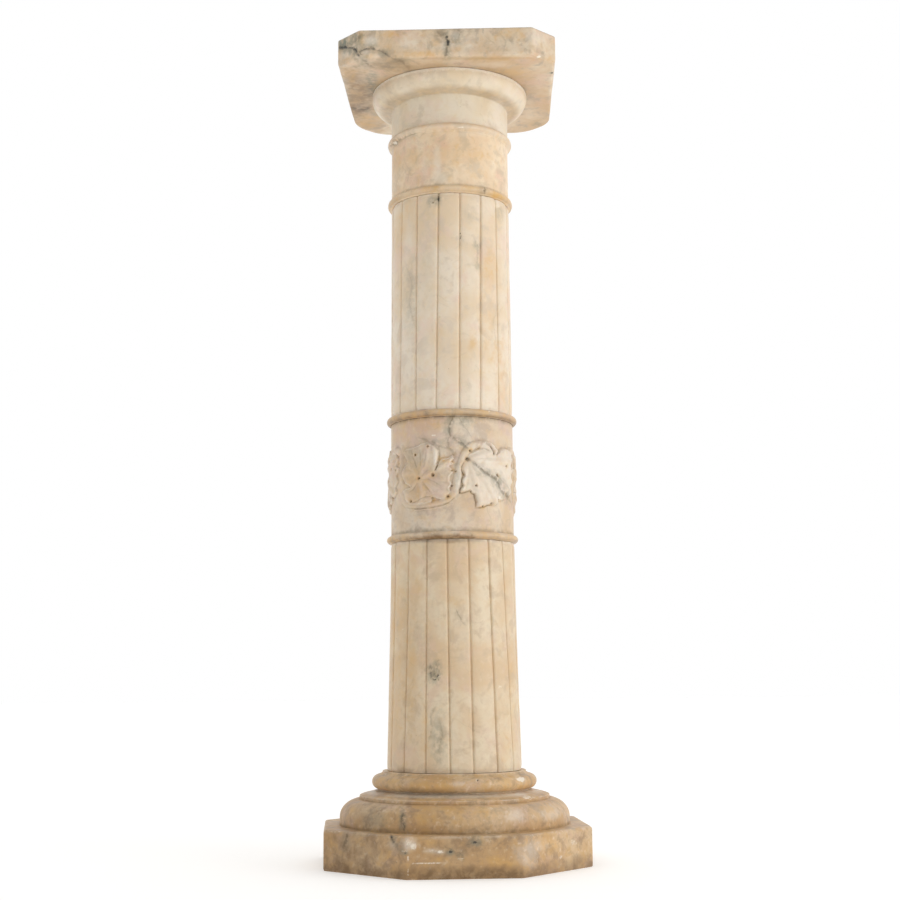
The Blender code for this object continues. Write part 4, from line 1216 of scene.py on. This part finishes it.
def bead_marks(grid, wall, band=False):
    """Where a turned stone's beads are, and the lower half of each, which takes painted shade."""
    beads = past(grid, wall + 1 * MM, wall + 3 * MM) * ~np.broadcast_to(band, grid.shape[:2])
    z = grid[..., 2]
    middles = (z.min() + BEAD_HEIGHT / 2, z.max() - BEAD_HEIGHT / 2)
    below = np.where(z < z.mean(), middles[0] - z, middles[1] - z)
    return beads, beads * smooth(-0.1 * BEAD_HEIGHT, 0.5 * BEAD_HEIGHT, below)


def reed_end_highlights(grid):
    """Painted highlights: pale rims at the reeds' ends, stronger at the upper one."""
    z = grid[..., 2]
    upper = smooth(z.max() - 4 * MM, z.max() - 1.5 * MM, z)
    return 0.5 * upper + 0.2 * smooth(z.min() + 4 * MM, z.min() + 1.5 * MM, z)


def make_stones():
    """All seven stones, from the floor up, each with the staining, painted shade, painted light and wear of
    its own parts.
    """
    grid = base_grid()
    z = grid[..., 2]
    # The plinth is darker towards its foot
    foot = smooth(19 * MM, 3 * MM, z + 5 * MM * noise(grid, 22 * MM, PLINTH_FOOT_SEED))
    # The slope under the small round is painted paler, as painted light against the shade of its recess, and
    # its hollows are kept from darkening
    slope = smooth(94 * MM, 90 * MM, z)
    neck = past(grid, STEP_RADIUS - 5 * MM, STEP_RADIUS - 17 * MM)
    within_step = past(grid, STEP_RADIUS + 1 * MM, STEP_RADIUS - 2 * MM)
    make_stone("base", grid, soiling=1 - 0.95 * slope * within_step, soil=0.65 * foot,
               mist=0.6 * slope * neck)

    grid = reeded_grid("lower_shaft", LOWER_SHAFT)
    z = grid[..., 2]
    # Hollows darken more towards the shaft's foot and just under the drum
    soiling = 0.5 + 0.5 * smooth(z.min() + 130 * MM, z.min() + 40 * MM, z)
    soiling = soiling + 0.4 * noise(grid, 35 * MM, SHAFT_DARK_SEED)
    soiling += 0.5 * smooth(z.max() - 14 * MM, z.max() - 4 * MM, z)
    make_stone("lower_shaft", grid, 0.8, 0.8, np.clip(soiling, 0.2, 1.1), mist=reed_end_highlights(grid))

    grid, tones = drum_grid("vine_drum")
    upper = grid[..., 2] > grid[..., 2].mean()
    beads, under = bead_marks(grid, DRUM_RADIUS, tones["band"])
    # Holes and undercuts are darkened, part staining and part painted shade; the ground at the foot of the
    # relief is darkened as painted shade
    hole_dirt_and_shade = 0.9 * tones["holes"] * (0.8 + 0.4 * noise(grid, 5 * MM, HOLE_DARK_SEED))
    # Beads' undersides and the web between the rising leaf's ribs are browned as painted shade; lips and ribs
    # of the vine are lightened as painted highlight
    soil = beads * np.where(upper, 0.12, 0.0) + under * np.where(upper, 0.75, 0.5) + 0.1 * tones["web"]
    make_stone("vine_drum", grid, 0.6, 0.6, 1 + np.where(tones["band"], -0.72, 0.0),
               grime=hole_dirt_and_shade + 0.1 * tones["ground"], soil=soil, mist=0.55 * tones["highlight_and_pale_leaf"],
               rust=beads * np.where(upper, 0.5, 0.4) + 0.45 * tones["halo"])

    grid = reeded_grid("upper_shaft", UPPER_SHAFT)
    make_stone("upper_shaft", grid, 0.8, 0.8, mist=reed_end_highlights(grid))

    grid = turned_grid(collar_profile("collar"))
    lower = grid[..., 2] < grid[..., 2].mean()
    beads, under = bead_marks(grid, COLLAR_RADIUS)
    # The lower bead's underside is browned as painted shade
    make_stone("collar", grid, soiling=np.where(lower, 0.8, 0.35), rust=beads * np.where(lower, 0.4, 0.1),
               soil=beads * np.where(lower, 0.08, 0.14) + under * np.where(lower, 0.3, 0.0),
               mist=beads * np.where(lower, 0.0, 0.25))

    grid = turned_grid(capital_profile("capital"))
    z = grid[..., 2]
    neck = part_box("capital")[0][2] + NECK_HEIGHT
    # A warm brown band of painted shade in the quirk under the echinus
    quirk = past(grid, NECK_RADIUS + 0.2 * MM, NECK_RADIUS + 1.2 * MM)
    quirk = quirk * smooth(neck + 7 * MM, neck + 1 * MM, z)
    # The echinus's top is painted paler and flecked with chalk, as painted light against the shade under the
    # slab
    top = smooth(z.max() - 5 * MM, z.max() - 2 * MM, z)
    make_stone("capital", grid, chips=0.3, soiling=0.25 * (1 - top), soil=0.42 * quirk, rust=0.3 * quirk,
               mist=0.9 * top, chalk=0.45 * smooth(z.max() - 8 * MM, z.max() - 3 * MM, z))

    grid = slab_grid("top_slab")
    z = grid[..., 2]
    underside = z < z.min() + 1 * MM
    # A darker line runs along the slab's top arris
    rim = smooth(z.max() - 2.5 * MM, z.max() - 0.5 * MM, z) * (z < z.max() - 0.05 * MM)
    # The underside round the capital is browned, part staining and part painted shade
    make_stone("top_slab", grid, soil=0.25 * (underside * past(grid, 128 * MM, 104 * MM)), smoke=0.4 * rim,
               calm=0.6 * underside)


def set_stage():
    """Pale floor, a pale surround that is brightest behind the column and to its right, and one large soft
    light at the front right."""
    floor = bpy.data.meshes.new("floor")
    reach = FLOOR_REACH
    floor.from_pydata([(-reach, -reach, 0), (reach, -reach, 0), (reach, reach, 0), (-reach, reach, 0)], [],
                      [(0, 1, 2, 3)])
    pale = plain("pale_floor", FLOOR_COLOUR, 0.9)
    glow = pale.node_tree.nodes["Principled BSDF"].inputs
    glow["Emission Color"].default_value = (1, 1, 1, 1)
    glow["Emission Strength"].default_value = FLOOR_GLOW
    floor.materials.append(pale)
    item = bpy.data.objects.new("floor", floor)
    bpy.context.scene.collection.objects.link(item)

    world = bpy.data.worlds.new("studio")
    bpy.context.scene.world = world
    world.use_nodes = True
    tree = world.node_tree
    tree.nodes.clear()
    aim = node(tree, "ShaderNodeTexCoord")[0]
    toward = node(tree, "ShaderNodeVectorMath", {0: aim, 1: SURROUND_BRIGHT_SIDE}, operation="DOT_PRODUCT")[1]
    dim, bright = SURROUND_STRENGTH
    share = node(tree, "ShaderNodeMapRange", {"Value": toward, "From Min": -0.75, "From Max": 0.45,
                                              "To Min": dim, "To Max": bright},
                 interpolation_type="SMOOTHSTEP")[0]
    back = node(tree, "ShaderNodeBackground", {"Color": colour("#ffffff"), "Strength": share})[0]
    node(tree, "ShaderNodeOutputWorld", {"Surface": back})

    lamp = bpy.data.lights.new("key_light", "AREA")
    lamp.size = KEY_SIZE
    lamp.energy = KEY_WATTS
    lamp.color = KEY_COLOUR
    item = bpy.data.objects.new("key_light", lamp)
    item.location = KEY_PLACE
    item.rotation_euler = (Vector(KEY_AIM) - item.location).to_track_quat("-Z", "Y").to_euler()
    bpy.context.scene.collection.objects.link(item)


def set_camera():
    """The camera at the photograph's viewpoint."""
    lens = bpy.data.cameras.new("camera")
    lens.sensor_width = SENSOR_MM
    lens.lens = SENSOR_MM * FOCAL_PIXELS / PICTURE_SIDE
    item = bpy.data.objects.new("camera", lens)
    turn = Matrix((VIEW_RIGHT, VIEW_UP, -VIEW_FORWARD)).transposed().to_4x4()
    item.matrix_world = Matrix.Translation(VIEW_PLACE) @ turn
    bpy.context.scene.collection.objects.link(item)
    bpy.context.scene.camera = item


make_stones()
set_stage()
set_camera()
bpy.context.scene.view_settings.view_transform = "Standard"
